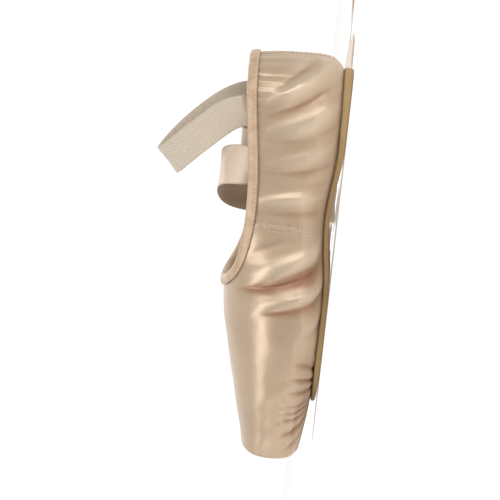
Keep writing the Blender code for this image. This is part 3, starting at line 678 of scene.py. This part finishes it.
def cotton_lining(material):
    """The lining: a thin second wall inside the satin, from the turned-in edge to the collar."""
    columns = columns_of_upper(0.5)
    angles = angles_of_upper(columns, 12, 34)
    grid, smooth, normals = on_last(columns, angles)
    inward = wall(section_of(grid))[..., None]
    depths = (inward - LINING_THICKNESS * 0.8, inward)
    plain_ends = [(smooth - normals * depth)[-1] for depth in depths]
    plain_ends[1][:, 0] -= LINING_THICKNESS
    patches = []
    for side in (LEFT, RIGHT):
        lift, _ = satin_lift(columns, angles, side)
        sunk = np.minimum(lift, 0)[..., None]
        faces = [smooth + normals * (sunk - depth) for depth in depths]
        faces[1][-1, :, 0] -= LINING_THICKNESS
        patches += [face * [1, side, 1] for face in shell(columns, faces, plain_ends, (4, 4))]
    piece = solid("cotton_lining", patches, {}, material)
    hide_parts("upper")


def underside(x, y, inset):
    """Height of the upper's lower face over a place on the plan, inset into its wall."""
    along = x + MIDDLE
    station = np.maximum(along, HEEL_CENTRE) / LENGTH
    behind = np.maximum(HEEL_CENTRE - along, 0) / (HEEL_CENTRE - inset)
    aside = np.abs(y) / (half_width(station) - inset)
    share = (behind**HEEL_SQUARE + aside**HEEL_SQUARE) ** (1 / HEEL_SQUARE)
    widest, _ = widest_and_crown(station)
    drop = widest - base_height(station) - inset
    return widest - drop * superellipse(share, section_value(station, "square_base"))


def plan_outline(start, end, half, inset, count=110):
    """A plate's half outline from heel to toe, crowded as a cosine at both ends and moved in by inset."""
    share = (1 - np.cos(np.linspace(0, np.pi, count + 1))) / 2
    station = start + (end - start) * share
    outline = np.stack([station * LENGTH - MIDDLE, half(station)], axis=1)
    heading = np.gradient(outline, axis=0)
    heading[0] = (0, 1)
    heading[-1] = (0, -1)
    heading = unit(heading)
    moved = outline + np.stack([heading[:, 1], -heading[:, 0]], axis=1) * inset
    moved[0, 1] = moved[-1, 1] = 0
    moved[:, 1] = np.maximum(moved[:, 1], 0)
    return moved


def plate_face(outline, height, strips):
    """Strips from the middle line out to an outline, each point at its own height."""
    shares = np.linspace(0, 1, strips + 1)
    x = np.repeat(outline[:, 0][:, None], len(shares), axis=1)
    y = outline[:, 1][:, None] * shares[None, :]
    return np.stack([x, y, height(x, y)], axis=2)


def mirrored(patches):
    """The patches and their copies across the middle."""
    return patches + [patch * [1, -1, 1] for patch in patches]


def leather_outsole(material):
    """The outsole: its top follows the upper, its side steps and is skived, its tread has a channel."""
    def rounded(station):
        heel = rounded_end(station - OUTSOLE_START, OUTSOLE_ROUND_HEEL)
        return outsole_half_width(station) * heel * rounded_end(OUTSOLE_END - station, OUTSOLE_ROUND_TOE)

    def outline(inset):
        return plan_outline(OUTSOLE_START, OUTSOLE_END, rounded, inset)

    def seat(x, y):
        return underside(x, y, 0) - GAP

    def tread(x, y):
        return floor_gap((x + MIDDLE) / LENGTH) + 0 * y

    def on_tread(inset, lift):
        line = outline(inset)
        return np.column_stack([line, tread(line[:, 0], line[:, 1]) + lift])

    channel_edge = CHANNEL_INSET + CHANNEL_HALF_WIDTH
    channel = (
        on_tread(channel_edge, 0),
        on_tread(CHANNEL_INSET, CHANNEL_DEPTH),
        on_tread(CHANNEL_INSET - CHANNEL_HALF_WIDTH, 0),
        on_tread(SOLE_CHAMFER, 0.0001),
    )
    top = plate_face(outline(SOLE_STEP), seat, 8)
    bottom = plate_face(outline(channel_edge), tread, 8)
    upper_edge = np.column_stack([outline(0), top[:, -1, 2] - SOLE_STEP])
    lower_edge = np.column_stack([outline(0), channel[-1][:, 2] + SOLE_CHAMFER])
    side = np.stack([top[:, -1], upper_edge, lower_edge, channel[-1]], axis=1)
    faces = [top, bottom, np.stack(channel, axis=1), side]
    # The side is marked as "edge". The leather paints it paler, partly its own colour and partly painted
    # light against the floor's shadow
    marks = [np.full(face.shape[:2], float(face is side)) for face in faces]
    piece = solid("leather_outsole", mirrored(faces), {"edge": marks * 2}, material)
    soften_edges(piece, 0.00018, 28)
    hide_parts("outsole")


def cloth_insole(material):
    """The insole board in its cloth cover, lying on the turned-in edge."""
    heel = HEEL_CENTRE - QUARTER_WALL - 2 * GAP

    def inside(station):
        section = np.maximum(station * LENGTH, HEEL_CENTRE) / LENGTH
        behind = np.maximum(HEEL_CENTRE - station * LENGTH, 0) / (INSOLE_REACH * heel)
        half = INSOLE_REACH * (half_width(section) - wall(section) - GAP) * superellipse(behind, HEEL_SQUARE)
        return half * rounded_end(INSOLE_END - station, INSOLE_ROUND_TOE)

    def lower(x, y):
        return underside(x, y, wall((x + MIDDLE) / LENGTH)) + GAP

    def higher(x, y):
        return lower(x, y) + INSOLE_THICKNESS

    outline = plan_outline((HEEL_CENTRE - INSOLE_REACH * heel) / LENGTH, INSOLE_END, inside, 0)
    top, bottom = plate_face(outline, higher, 16), plate_face(outline, lower, 16)
    side = np.stack([top[:, -1], bottom[:, -1]], axis=1)
    piece = solid("cloth_insole", mirrored([top, bottom, side]), {}, material)
    soften_edges(piece, 0.0004, 30)
    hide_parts("insole")


def walk_on_last(column, angle, heading, distance, steps=4):
    """Move points over the last by a distance along a heading in space, solving each step in its slopes."""
    for _ in range(steps):
        along, up = last_slopes(column, angle)
        normal = unit(np.cross(up, along))
        move = unit(heading - np.sum(heading * normal, axis=1, keepdims=True) * normal) * distance / steps
        a, b, c = np.sum(along * along, 1), np.sum(along * up, 1), np.sum(up * up, 1)
        p, q = np.sum(along * move, 1), np.sum(up * move, 1)
        spread = a * c - b * b
        column, angle = column + (p * c - q * b) / spread, angle + (a * q - b * p) / spread
    return column, angle


def collar_frame():
    """Columns, angles, outward normals and the way down over the upper, all along the left half's collar."""
    columns = columns_of_upper(1.0)
    columns = columns[: row_at(columns, THROAT) + 1]
    angles = collar_angle(columns)
    edge = last_point(columns, angles)
    whole = np.concatenate([edge[1:2] * [1, -1, 1], edge, edge[-2:-1] * [1, -1, 1]])
    normal = last_normal(columns, angles)
    return columns, angles, normal, unit(np.cross(normal, unit(whole[2:] - whole[:-2])))


def collar_casing(material):
    """The folded casing: a rounded hook profile carried along the collar, with small drawn puckers."""
    columns, angles, normal, away = collar_frame()
    edge = last_point(columns, angles)
    legs = []
    for share in (0.25, 0.5, 0.75, 1.0):
        places = walk_on_last(columns, angles, away, BINDING_WIDTH * share)
        legs.append((last_point(*places), last_normal(*places)))
    foot, foot_normal = legs[-1]
    thickness = wall(section_of(places[0]))[:, None]
    near = BINDING_GAP + SEAM_STEP
    out = near + BINDING_THICKNESS
    over = GAP + BINDING_THICKNESS
    inner = thickness + BINDING_GAP
    arc = arc_length(edge) / MM
    pucker = (0.13 * np.sin(arc * 2.1 + 0.7 * np.sin(arc * 0.4)) + 0.07 * np.sin(arc * 3.7))[:, None] * MM
    outer_leg = [
        point + face * (out + BINDING_THICKNESS * bulge + pucker * (bulge > 0))
        for (point, face), bulge in zip(legs, (0.35, 0.45, 0.30, 0.0))
    ]
    loop = [foot + foot_normal * near, *outer_leg[::-1]]
    loop.append(edge + normal * (out + 0.0001) + pucker * normal * 0.6)
    middle = edge - normal * (thickness - SEAM_STEP) / 2
    wide = (thickness + SEAM_STEP) / 2 + BINDING_GAP + BINDING_THICKNESS
    for turn in np.radians((25, 55, 90, 125, 155)):
        loop.append(middle + normal * wide * math.cos(turn) - away * (over * math.sin(turn) + 0.4 * pucker))
    loop += [point - face * (inner + BINDING_THICKNESS) for point, face in legs]
    loop += [foot - foot_normal * inner, edge - normal * inner - away * GAP]
    loop.append(edge + normal * near - away * GAP)
    ring = np.stack(loop + loop[:1], axis=1)
    ring[[0, -1], :, 1] = 0
    lengthways = np.repeat(arc[:, None], ring.shape[1], axis=1)
    values = {"along": [lengthways, -lengthways]}
    piece = solid("collar_casing", mirrored([ring]), values, material)
    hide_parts("collar_binding")


def inside_quarter(station, heights, clearance, side):
    """Points on a vertical line inside a quarter, a little clear of its wall."""
    angle = angle_at_height(station, np.asarray(heights))
    columns = np.full(len(heights), column_at(station))
    points = last_point(columns, angle) - last_normal(columns, angle) * (wall(station) + clearance)
    return points * [1, side, 1]


def kept_inside(edge, clearance):
    """Move points in from the quarters, as far up as a little over the collar."""
    along, height = edge[..., 0] + MIDDLE, edge[..., 2]
    station = np.maximum(along, HEEL_CENTRE) / LENGTH
    widest, crown = widest_and_crown(station)
    square = section_value(station, "square_top")
    across = superellipse(np.clip((height - widest) / (crown - widest), 0, 1), square)
    behind = np.maximum(HEEL_CENTRE - along, 0) / (HEEL_CENTRE * across.clip(1e-6))
    half = half_width(station) * across * superellipse(behind, HEEL_SQUARE)
    collar = collar_height(along / LENGTH) + BINDING_REACH
    freed = ramp(height, collar - 0.7 * BINDING_REACH, collar) * 0.02
    limit = np.where(height < collar, half - wall(station) - clearance + freed, np.inf)
    inside = edge.copy()
    inside[..., 1] = np.sign(edge[..., 1]) * np.minimum(np.abs(edge[..., 1]), limit)
    return inside


def band(path, across, width, thickness, strips, cup):
    """A band's closed face: a flat loop with round edges carried along a path.

    cup lifts the middle of the width. Returns the rings and each point's place across, from -1 to 1.
    """
    heading = unit(np.gradient(path, axis=0))
    across = unit(across - np.sum(across * heading, axis=1, keepdims=True) * heading)
    normal = np.cross(heading, across)
    shares = np.linspace(-1, 1, strips + 1)
    over = [(share, 1.0) for share in shares[1:-1]]
    under = [(share, -1.0) for share in shares[-2:0:-1]]
    profile = over + [(0.997, 0.55), (1.0, 0.0), (0.997, -0.55)] + under
    profile += [(-0.997, -0.55), (-1.0, 0.0), (-0.997, 0.55), over[0]]
    rings = []
    for share, level in profile:
        bow = cup[:, None] * (1 - share**2)
        rings.append(path + across * share * width / 2 + normal * (level * thickness / 2 + bow))
    side = np.array([share for share, _ in profile])
    return np.stack(rings, axis=1), np.repeat(side[None], len(path), axis=0)


def band_piece(name, ring, side, arc, material):
    """The band as a piece, each end closed to its middle, with its length and place across on its points."""
    ends = [np.stack([end, np.repeat(end.mean(axis=0)[None], len(end), axis=0)]) for end in ring[[0, -1]]]
    lengthways = np.repeat(arc[:, None], ring.shape[1], axis=1)
    flat = [np.zeros(end.shape[:2]) for end in ends]
    values = {"along": [lengthways] + flat, "across": [side] + flat}
    return solid(name, [ring] + ends, values, material, merge=1e-7)


def ankle_elastic(material):
    """The elastic hoop, seated inside both quarters and leaning forward over the ankle."""
    seat = inside_quarter(ELASTIC_STATION, ELASTIC_SEAT_HEIGHTS, ELASTIC_INSIDE, LEFT)
    left = np.concatenate([seat, ELASTIC_ROUTE])
    path = along_curve(np.concatenate([left, left[-2::-1] * [1, -1, 1]]), 181)
    lean = math.radians(ELASTIC_LEAN)
    across = np.tile([-math.sin(lean), 0, math.cos(lean)], (len(path), 1))
    arc = arc_length(path) / MM
    cup = ELASTIC_CUP * np.sin(arc / arc[-1] * np.pi) ** 2
    ring, side = band(path, across, ELASTIC_WIDTH, ELASTIC_THICKNESS, 12, cup)
    ring = kept_inside(ring, ELASTIC_INSIDE)
    piece = band_piece("ankle_elastic", ring, side, arc, material)
    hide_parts("heel_elastic")


def satin_ribbon(name, node, quarter, drape, floor, shift, material):
    """A ribbon from its seat inside a quarter, over the collar and along the floor, with slow rolls."""
    seat = inside_quarter(RIBBON_STATION, RIBBON_SEAT_HEIGHTS, RIBBON_INSIDE, quarter)
    flat = [(x, y, RIBBON_ON_FLOOR) for x, y in floor]
    path = along_curve(np.concatenate([seat, drape, flat]), 241)
    path[:, 2] = np.maximum(path[:, 2], RIBBON_ON_FLOOR)
    heading = unit(np.gradient(path, axis=0))
    across = np.stack([np.abs(heading[:, 1]) + 0.15, heading[:, 0], 0 * heading[:, 0]], axis=1)
    arc = arc_length(path) / MM
    lying = ramp(arc, *RIBBON_LIES)
    tilt = np.sin(lying * np.sin(arc / 33 + shift) * math.radians(RIBBON_TILT))
    across = unit(across) + np.outer(tilt, [0, 0, 1])
    path[:, 2] += RIBBON_WIDTH / 2 * np.abs(tilt)
    cup = 0.0010 * lying * np.sin(arc / 19 + shift) ** 2 - 0.0004 * (1 - lying)
    ring, side = band(path, across, RIBBON_WIDTH, RIBBON_THICKNESS, 16, cup)
    seated = arc < RIBBON_SEAT_END
    ring[seated] = kept_inside(ring[seated], RIBBON_INSIDE - 0.0003)
    ring[..., 2] = np.maximum(ring[..., 2], 0.0001)
    piece = band_piece(name, ring, side, arc, material)
    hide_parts(node)


def stitch_run(path, normals, proud, side):
    """Stitches along a path put on its side: small capsules laid along it, one grid of points for each."""
    path, normals = path * [1, side, 1], normals * [1, side, 1]
    arc = arc_length(path)
    centres = np.arange(STITCH_PITCH / 2, arc[-1], STITCH_PITCH)

    def at(places, values):
        return np.stack([np.interp(places, arc, values[:, axis]) for axis in range(3)], axis=1)

    place = at(centres, path)
    out = unit(at(centres, normals))
    way = unit(at(centres + 1e-4, path) - place + 1e-12)
    sideways = np.cross(way, out)
    grid = []
    for end, size in ((-1, 0.0), (-0.85, 0.7), (-0.4, 1.0), (0.4, 1.0), (0.85, 0.7), (1, 0.0)):
        core = place + way * end * STITCH_LENGTH / 2 + out * proud
        spokes = [out * math.cos(turn) + sideways * math.sin(turn) for turn in np.linspace(0, 2 * np.pi, 7)]
        grid.append(np.stack([core + spoke * STITCH_RADIUS * size for spoke in spokes], axis=1))
    return list(np.stack(grid, axis=1))


def seam_line(column, top, foot, side):
    """Points and normals up a column, from foot degrees over the feather line to just under the casing.

    It ends as high as the collar lets it at the column called top.
    """
    columns = np.full(60, column)
    angle = np.linspace(FEATHER_ANGLE + foot, float(collar_angle(np.array([top]))[0]) - 9, 60)
    lift, _ = satin_lift(columns[:1], angle[None, :], side)
    normals = last_normal(columns, angle)
    return last_point(columns, angle) + normals * lift[0][:, None], normals


def seat_square(station, heights, width, depth, side):
    """A closed rectangle of stitches on the inner face of what is sewn inside a quarter."""
    low, high = heights[0] - 0.002, heights[-1] - 0.001
    x = np.array([-1, 1, 1, -1, -1]) * (width / 2 - SEAT_EDGE) + column_at(station)
    share = np.linspace(0, 4, 61)
    columns = np.interp(share, np.arange(5), x)
    angle = angle_at_height(section_of(columns), np.interp(share, np.arange(5), [low, low, high, high, low]))
    normals = last_normal(columns, angle)
    points = last_point(columns, angle) - normals * (wall(section_of(columns)) + depth)[:, None]
    return stitch_run(points, -normals, STITCH_PROUD, side)


def stitching(material):
    """Every line of stitches: back seam, side seams, casing, and the squares on elastic and ribbons."""
    back, seam = -FAN_LENGTH + BACK_STITCHES, column_at(SIDE_SEAM)
    # Both sides of the back seam follow the left one, which the right one nearly mirrors there
    back_line, back_normals = seam_line(back, back, 10, LEFT)
    ribbon_depth = RIBBON_INSIDE + RIBBON_THICKNESS / 2
    elastic_depth = ELASTIC_INSIDE + ELASTIC_THICKNESS / 2
    patches = []
    for side in (LEFT, RIGHT):
        patches += stitch_run(back_line, back_normals, STITCH_PROUD, side)
        patches += seat_square(RIBBON_STATION, RIBBON_SEAT_HEIGHTS, RIBBON_WIDTH, ribbon_depth, side)
        patches += seat_square(ELASTIC_STATION, ELASTIC_SEAT_HEIGHTS, ELASTIC_WIDTH, elastic_depth, side)
    for offset in SIDE_STITCHES:
        for side in (LEFT, RIGHT):
            patches += stitch_run(*seam_line(seam + offset, seam, 12, side), SIDE_STITCH_PROUD, side)
    columns, angles, _, away = collar_frame()
    places = walk_on_last(columns, angles, away, BINDING_WIDTH - 0.0007)
    normals = last_normal(*places)
    line = last_point(*places) + normals * (SEAM_STEP + BINDING_GAP + BINDING_THICKNESS * 1.15)
    for side in (LEFT, RIGHT):
        patches += stitch_run(line, normals, 0.0, side)
    solid("thread_stitches", patches, {}, material, merge=1e-7)


def colour(code):
    """An sRGB hex code as linear red, green, blue and 1."""
    share = [int(code[i : i + 2], 16) / 255 for i in (0, 2, 4)]
    return (*[s / 12.92 if s <= 0.04045 else ((s + 0.055) / 1.055) ** 2.4 for s in share], 1.0)


def plug(tree, socket, source):
    """Link a node or its output to a socket, or set the socket to a plain value."""
    if isinstance(source, bpy.types.Node):
        source = source.outputs.get("Fac") or source.outputs[0]
    if isinstance(source, bpy.types.NodeSocket):
        tree.links.new(source, socket)
    else:
        socket.default_value = source


def join(tree, node, **sockets):
    """Plug each source into the node's socket of that name."""
    for name, source in sockets.items():
        plug(tree, node.inputs[name.replace("_", " ")], source)


def add(tree, kind, *sources, stops=(), **settings):
    """Add a node, set its properties, sockets and colour stops, and plug sources into its first sockets."""
    node = tree.nodes.new("ShaderNode" + kind)
    for key, value in settings.items():
        if hasattr(node, key):
            setattr(node, key, value)
        else:
            join(tree, node, **{key: value})
    for socket, source in zip(node.inputs, sources):
        plug(tree, socket, source)
    for index, (place, code) in enumerate(stops):
        element = node.color_ramp.elements[index] if index < 2 else node.color_ramp.elements.new(place)
        element.position = place
        element.color = colour(code)
    return node


def new_material(name, base, roughness, **settings):
    """A material with one Principled shader, and its tree and shader for more nodes."""
    material = bpy.data.materials.new(name)
    material.use_nodes = True
    tree = material.node_tree
    shader = tree.nodes["Principled BSDF"]
    join(tree, shader, Base_Color=colour(base), Roughness=roughness, **settings)
    return material, tree, shader


def piece_coordinates(tree, along_scale, across_scale):
    """The along and across numbers of a piece as a vector, each times its own scale.

    along is in millimetres. So is across on the satin, while on a band it goes from -1 to 1.
    """
    along = add(tree, "Attribute", attribute_name="along")
    across = add(tree, "Attribute", attribute_name="across")
    vector = add(tree, "CombineXYZ", along, across)
    scale = (along_scale, across_scale, 1.0)
    return add(tree, "VectorMath", vector, scale, operation="MULTIPLY")


def duchess_satin():
    """Heavy woven satin: long floating warp threads give a broad tinted gloss and lengthwise streaks."""
    material, tree, shader = new_material(
        "duchess_satin", "BEA58B", 0.34, Metallic=0.38, IOR=1.46, Specular_IOR_Level=0.9, Anisotropic=0.35,
        Specular_Tint=colour("FFF9F0"), Sheen_Weight=0.18, Sheen_Roughness=0.35, Sheen_Tint=colour("FFE9D0"),
        Coat_Weight=0.35, Coat_Roughness=0.22,
    )
    # Colour by fold height in millimetres: painted shade, dark and reddish, in the troughs and pleat
    # valleys, and a painted highlight, pale, on the crests of the ridges
    fold = add(tree, "Attribute", attribute_name="fold")
    share = add(tree, "MapRange", Value=fold, From_Min=-2.4, From_Max=1.4)
    stops = ((0.0, "82543C"), (1.0, "C2AE95"), (0.36, "977456"), (0.55, "AF967C"))
    tone = add(tree, "ValToRGB", Fac=share, stops=stops)
    # Slubs about 6 mm long and 0.4 mm across stand for threads of 0.1 mm, which would not show
    threads = piece_coordinates(tree, 0.16, 2.4)
    streaks = add(tree, "TexNoise", Vector=threads, Scale=1.0, Detail=3.0, Roughness=0.6)
    patches = piece_coordinates(tree, 0.035, 0.035)
    cloud = add(tree, "TexNoise", Vector=patches, Scale=1.0, Detail=2.0)
    shade = add(tree, "MapRange", Value=cloud, To_Min=0.93, To_Max=1.06)
    fine = add(tree, "MapRange", Value=streaks, To_Min=0.93, To_Max=1.07)
    both = add(tree, "Math", shade, fine, operation="MULTIPLY")
    mixed = add(tree, "VectorMath", tone, operation="SCALE", Scale=both)
    gloss = add(tree, "MapRange", Value=streaks, To_Min=0.29, To_Max=0.41)
    bump = add(tree, "Bump", Height=streaks, Strength=0.40, Distance=0.00009)
    join(tree, shader, Base_Color=mixed, Roughness=gloss, Normal=bump)
    return material


def ribbon_satin():
    """Narrow single-faced satin: paler and softer than the upper's, with a firm woven edge on both sides."""
    material, tree, shader = new_material(
        "ribbon_satin", "CFBAA7", 0.42, Metallic=0.15, IOR=1.46, Sheen_Weight=0.25, Sheen_Roughness=0.4,
    )
    across = add(tree, "Attribute", attribute_name="across")
    side = add(tree, "Math", across, operation="ABSOLUTE")
    edge = add(tree, "MapRange", Value=side, From_Min=0.90, From_Max=0.95)
    tone = add(tree, "ValToRGB", Fac=edge, stops=((0.0, "CFBAA7"), (1.0, "BFA790")))
    threads = piece_coordinates(tree, 0.2, 14.0)
    weave = add(tree, "TexNoise", Vector=threads, Scale=1.0, Detail=2.0)
    shade = add(tree, "MapRange", Value=weave, To_Min=0.92, To_Max=1.06)
    mixed = add(tree, "VectorMath", tone, operation="SCALE", Scale=shade)
    # Cross ribs of the weft, 0.3 mm apart as on the real ribbon: a wave is 0.31 units long
    weft = piece_coordinates(tree, 1.1, 0.6)
    ribs = add(tree, "TexWave", Vector=weft, Scale=1.0, Distortion=0.6)
    height = add(tree, "Math", ribs, edge, operation="ADD")
    # Soft creases some 14 mm long, left by tying
    tying = piece_coordinates(tree, 0.07, 0.25)
    soft = add(tree, "TexNoise", Vector=tying, Scale=1.0, Detail=2.0)
    creased = add(tree, "Bump", Height=soft, Strength=0.55, Distance=0.004)
    bump = add(tree, "Bump", Height=height, Normal=creased, Strength=0.35, Distance=0.00008)
    join(tree, shader, Base_Color=mixed, Normal=bump)
    return material


def casing_satin():
    """Satin cut on the bias and folded: duller than the upper, its colour varying at random in soft patches.
    """
    material, tree, shader = new_material(
        "bias_satin", "B99F86", 0.46, Metallic=0.15, IOR=1.46, Sheen_Weight=0.2, Sheen_Roughness=0.4,
    )
    place = add(tree, "TexCoord").outputs["Object"]
    cloud = add(tree, "TexNoise", Vector=place, Scale=160.0, Detail=3.0)
    tone = add(tree, "ValToRGB", Fac=cloud, stops=((0.3, "AF9478"), (0.7, "C0A68C")))
    # Threads on the bias, drawn 1.1 to 1.4 mm apart, stand for threads of 0.1 mm; shades are 6 mm across
    threads = add(tree, "TexWave", Vector=place, bands_direction="DIAGONAL", Scale=320.0)
    bump = add(tree, "Bump", Height=threads, Strength=0.25, Distance=0.00006)
    join(tree, shader, Base_Color=tone, Normal=bump)
    return material


def ribbed_elastic():
    """Knitted elastic: matt, with rubber cords that show as lengthwise ribs and a fine cross knit."""
    material, tree, shader = new_material(
        "knitted_elastic", "B8AA98", 0.85, IOR=1.45, Sheen_Weight=0.3, Sheen_Roughness=0.6,
    )
    # Seventeen ribs across 18 mm, one for each covered rubber cord, and knit rows 0.3 mm apart
    across = add(tree, "Attribute", attribute_name="across")
    rib = add(tree, "Math", across, 17 * math.pi, operation="MULTIPLY")
    wave = add(tree, "Math", rib, operation="COSINE")
    rows = piece_coordinates(tree, 1.0, 5.5)
    knit = add(tree, "TexWave", Vector=rows, Scale=1.0, Distortion=1.0)
    total = add(tree, "Math", wave, knit, operation="ADD")
    # The colour follows the height of the ribs and knit rows: painted shade in the grooves between them,
    # lighter on their crests
    shade = add(tree, "MapRange", Value=total, From_Min=-1.0, From_Max=2.0)
    stops = ((0.0, "B1A390"), (1.0, "BEB09F"), (0.5, "B8AA98"))
    tone = add(tree, "ValToRGB", Fac=shade, stops=stops)
    bump = add(tree, "Bump", Height=total, Strength=0.40, Distance=0.00006)
    join(tree, shader, Base_Color=tone, Normal=bump)
    return material


def plain_cloth(name, light, dark):
    """Plain weave cotton: matt, threads over and under each other."""
    material, tree, shader = new_material(name, light, 0.9, IOR=1.45, Sheen_Weight=0.15, Sheen_Roughness=0.6)
    place = add(tree, "TexCoord").outputs["Object"]
    noise = add(tree, "TexNoise", Vector=place, Scale=90.0, Detail=4.0)
    tone = add(tree, "ValToRGB", Fac=noise, stops=((0.3, dark), (0.7, light)))
    # Threads drawn 0.8 mm apart stand for 0.35 mm; shades are 11 mm across
    weave = add(tree, "TexChecker", Vector=place, Scale=1250.0)
    bump = add(tree, "Bump", Height=weave, Strength=0.3, Distance=0.0001)
    join(tree, shader, Base_Color=tone, Normal=bump)
    return material


def split_leather():
    """Buffed split leather: matt and fibrous, rubbed darker under the ball, and paler on its cut edge,
    partly the edge's own colour and partly painted light lifting it out of the shadow by the floor.
    """
    material, tree, shader = new_material("split_leather", "94866A", 0.72, IOR=1.5, Specular_IOR_Level=0.35)
    place = add(tree, "TexCoord").outputs["Object"]
    # The ball's rubbed place: round a point 41 mm in front of the middle, 67 mm long and 50 mm wide each way
    spot = add(tree, "Mapping", Vector=place, Location=(-0.62, 0.0, 0.0), Scale=(15.0, 20.0, 1.0))
    ball = add(tree, "TexGradient", Vector=spot, gradient_type="SPHERICAL")
    blotch = add(tree, "TexNoise", Vector=place, Scale=55.0, Detail=4.0, Roughness=0.65)
    stops = ((0.28, "8C7C60"), (0.72, "AA9A80"), (0.5, "9C8C70"))
    tone = add(tree, "ValToRGB", Fac=blotch, stops=stops)
    worn = add(tree, "Mix", ball, data_type="RGBA", A=tone, B=colour("85775B"))
    # The cut edge gets its own colour, lightened as painted light against the shadow it stands in by the
    # floor
    edge = add(tree, "Attribute", attribute_name="edge")
    whole = add(tree, "Mix", edge, data_type="RGBA", A=worn.outputs["Result"], B=colour("AE9268"))
    # Fibres drawn 1.6 mm long stand for finer ones; blotches are 18 mm across
    fibre = add(tree, "TexNoise", Vector=place, Scale=620.0, Detail=5.0, Roughness=0.7)
    bump = add(tree, "Bump", Height=fibre, Strength=0.35, Distance=0.0002)
    join(tree, shader, Base_Color=whole.outputs["Result"], Normal=bump)
    return material


def cotton_thread():
    """Waxed cotton thread: a little glossy, the satin's colour."""
    return new_material("cotton_thread", "C9B196", 0.5, IOR=1.45, Sheen_Weight=0.1)[0]


def floor_and_light():
    """A plain white floor, a white sky that is brightest behind the shoe, and four soft lights round it."""
    white = (1.0, 1.0, 1.0, 1.0)
    material, _, _ = new_material(
        "studio_white", "FAFAF9", 0.9, IOR=1.45, Specular_IOR_Level=0.1, Emission_Color=white,
        Emission_Strength=0.22,
    )
    bpy.ops.mesh.primitive_plane_add(size=12.0, location=(0, 0, -0.0002))
    floor = bpy.context.object
    floor.name = "studio_floor"
    floor.data.materials.append(material)
    world = bpy.data.worlds.new("studio_sky")
    bpy.context.scene.world = world
    world.use_nodes = True
    tree = world.node_tree
    way = add(tree, "TexCoord").outputs["Generated"]
    toward = add(tree, "VectorMath", way, (0.0, -0.95, 0.31), operation="DOT_PRODUCT")
    glow = add(
        tree, "MapRange", toward.outputs["Value"], From_Min=-0.55, From_Max=0.80,
        To_Min=0.40, To_Max=1.06,
    )
    join(tree, tree.nodes["Background"], Color=white, Strength=glow)
    # Name, place, what it points at, width, height and power
    lights = (
        ("key", (0.22, 0.72, 0.80), (0.04, 0.0, 0.04), 1.30, 0.30, 5.0),
        ("toe", (0.95, 0.55, 0.25), (0.03, 0.0, 0.03), 0.30, 0.35, 1.0),
        ("heel", (-0.80, 0.95, 0.34), (-0.05, 0.0, 0.03), 0.18, 0.70, 3.2),
        ("far", (-0.15, -0.80, 0.75), (0.0, 0.0, 0.04), 0.90, 0.25, 2.8),
    )
    for name, place, target, wide, tall, power in lights:
        lamp = bpy.data.lights.new(name, "AREA")
        lamp.shape = "RECTANGLE"
        lamp.size = wide
        lamp.size_y = tall
        lamp.energy = power
        holder = bpy.data.objects.new(name, lamp)
        bpy.context.collection.objects.link(holder)
        holder.location = place
        holder.rotation_euler = (Vector(place) - Vector(target)).to_track_quat("Z", "Y").to_euler()


def photo_camera():
    """The photo's view: toe down and top to the left, so the camera lies on its side by the floor.

    It stands to_rear degrees round towards the heel, leans the shoe in the picture and stays over the floor.
    """
    to_rear, lean = math.radians(15.0), math.radians(6.0)
    distance = 1.30
    target = Vector((0.001, 0.0, 0.047))
    place = Vector((-math.sin(to_rear) * distance, math.cos(to_rear) * distance, 0.016))
    back = (place - target).normalized()
    up = Vector((-1.0, 0.0, 0.0))
    up = (up - up.dot(back) * back).normalized()
    right = up.cross(back)
    leaned_up = up * math.cos(lean) - right * math.sin(lean)
    leaned_right = right * math.cos(lean) + up * math.sin(lean)
    data = bpy.data.cameras.new("camera")
    data.lens = 165.0
    data.sensor_width = 36.0
    camera = bpy.data.objects.new("camera", data)
    bpy.context.collection.objects.link(camera)
    axes = Matrix((leaned_right, leaned_up, back)).transposed()
    camera.matrix_world = Matrix.Translation(place) @ axes.to_4x4()
    bpy.context.scene.camera = camera


def main():
    bpy.context.scene.view_settings.view_transform = "Standard"
    photo_camera()
    floor_and_light()
    ribbon = ribbon_satin()
    satin_ribbon("left_ribbon", "ribbon_left", LEFT, LEFT_RIBBON_DRAPE, LEFT_RIBBON_FLOOR, 0.4, ribbon)
    satin_ribbon("right_ribbon", "ribbon_right", RIGHT, RIGHT_RIBBON_DRAPE, RIGHT_RIBBON_FLOOR, 1.9, ribbon)
    satin_upper(duchess_satin())
    cotton_lining(plain_cloth("lining_cotton", "E6DBCB", "DACDBA"))
    leather_outsole(split_leather())
    cloth_insole(plain_cloth("insole_cotton", "DFD3C1", "CFC1AC"))
    collar_casing(casing_satin())
    ankle_elastic(ribbed_elastic())
    stitching(cotton_thread())


main()
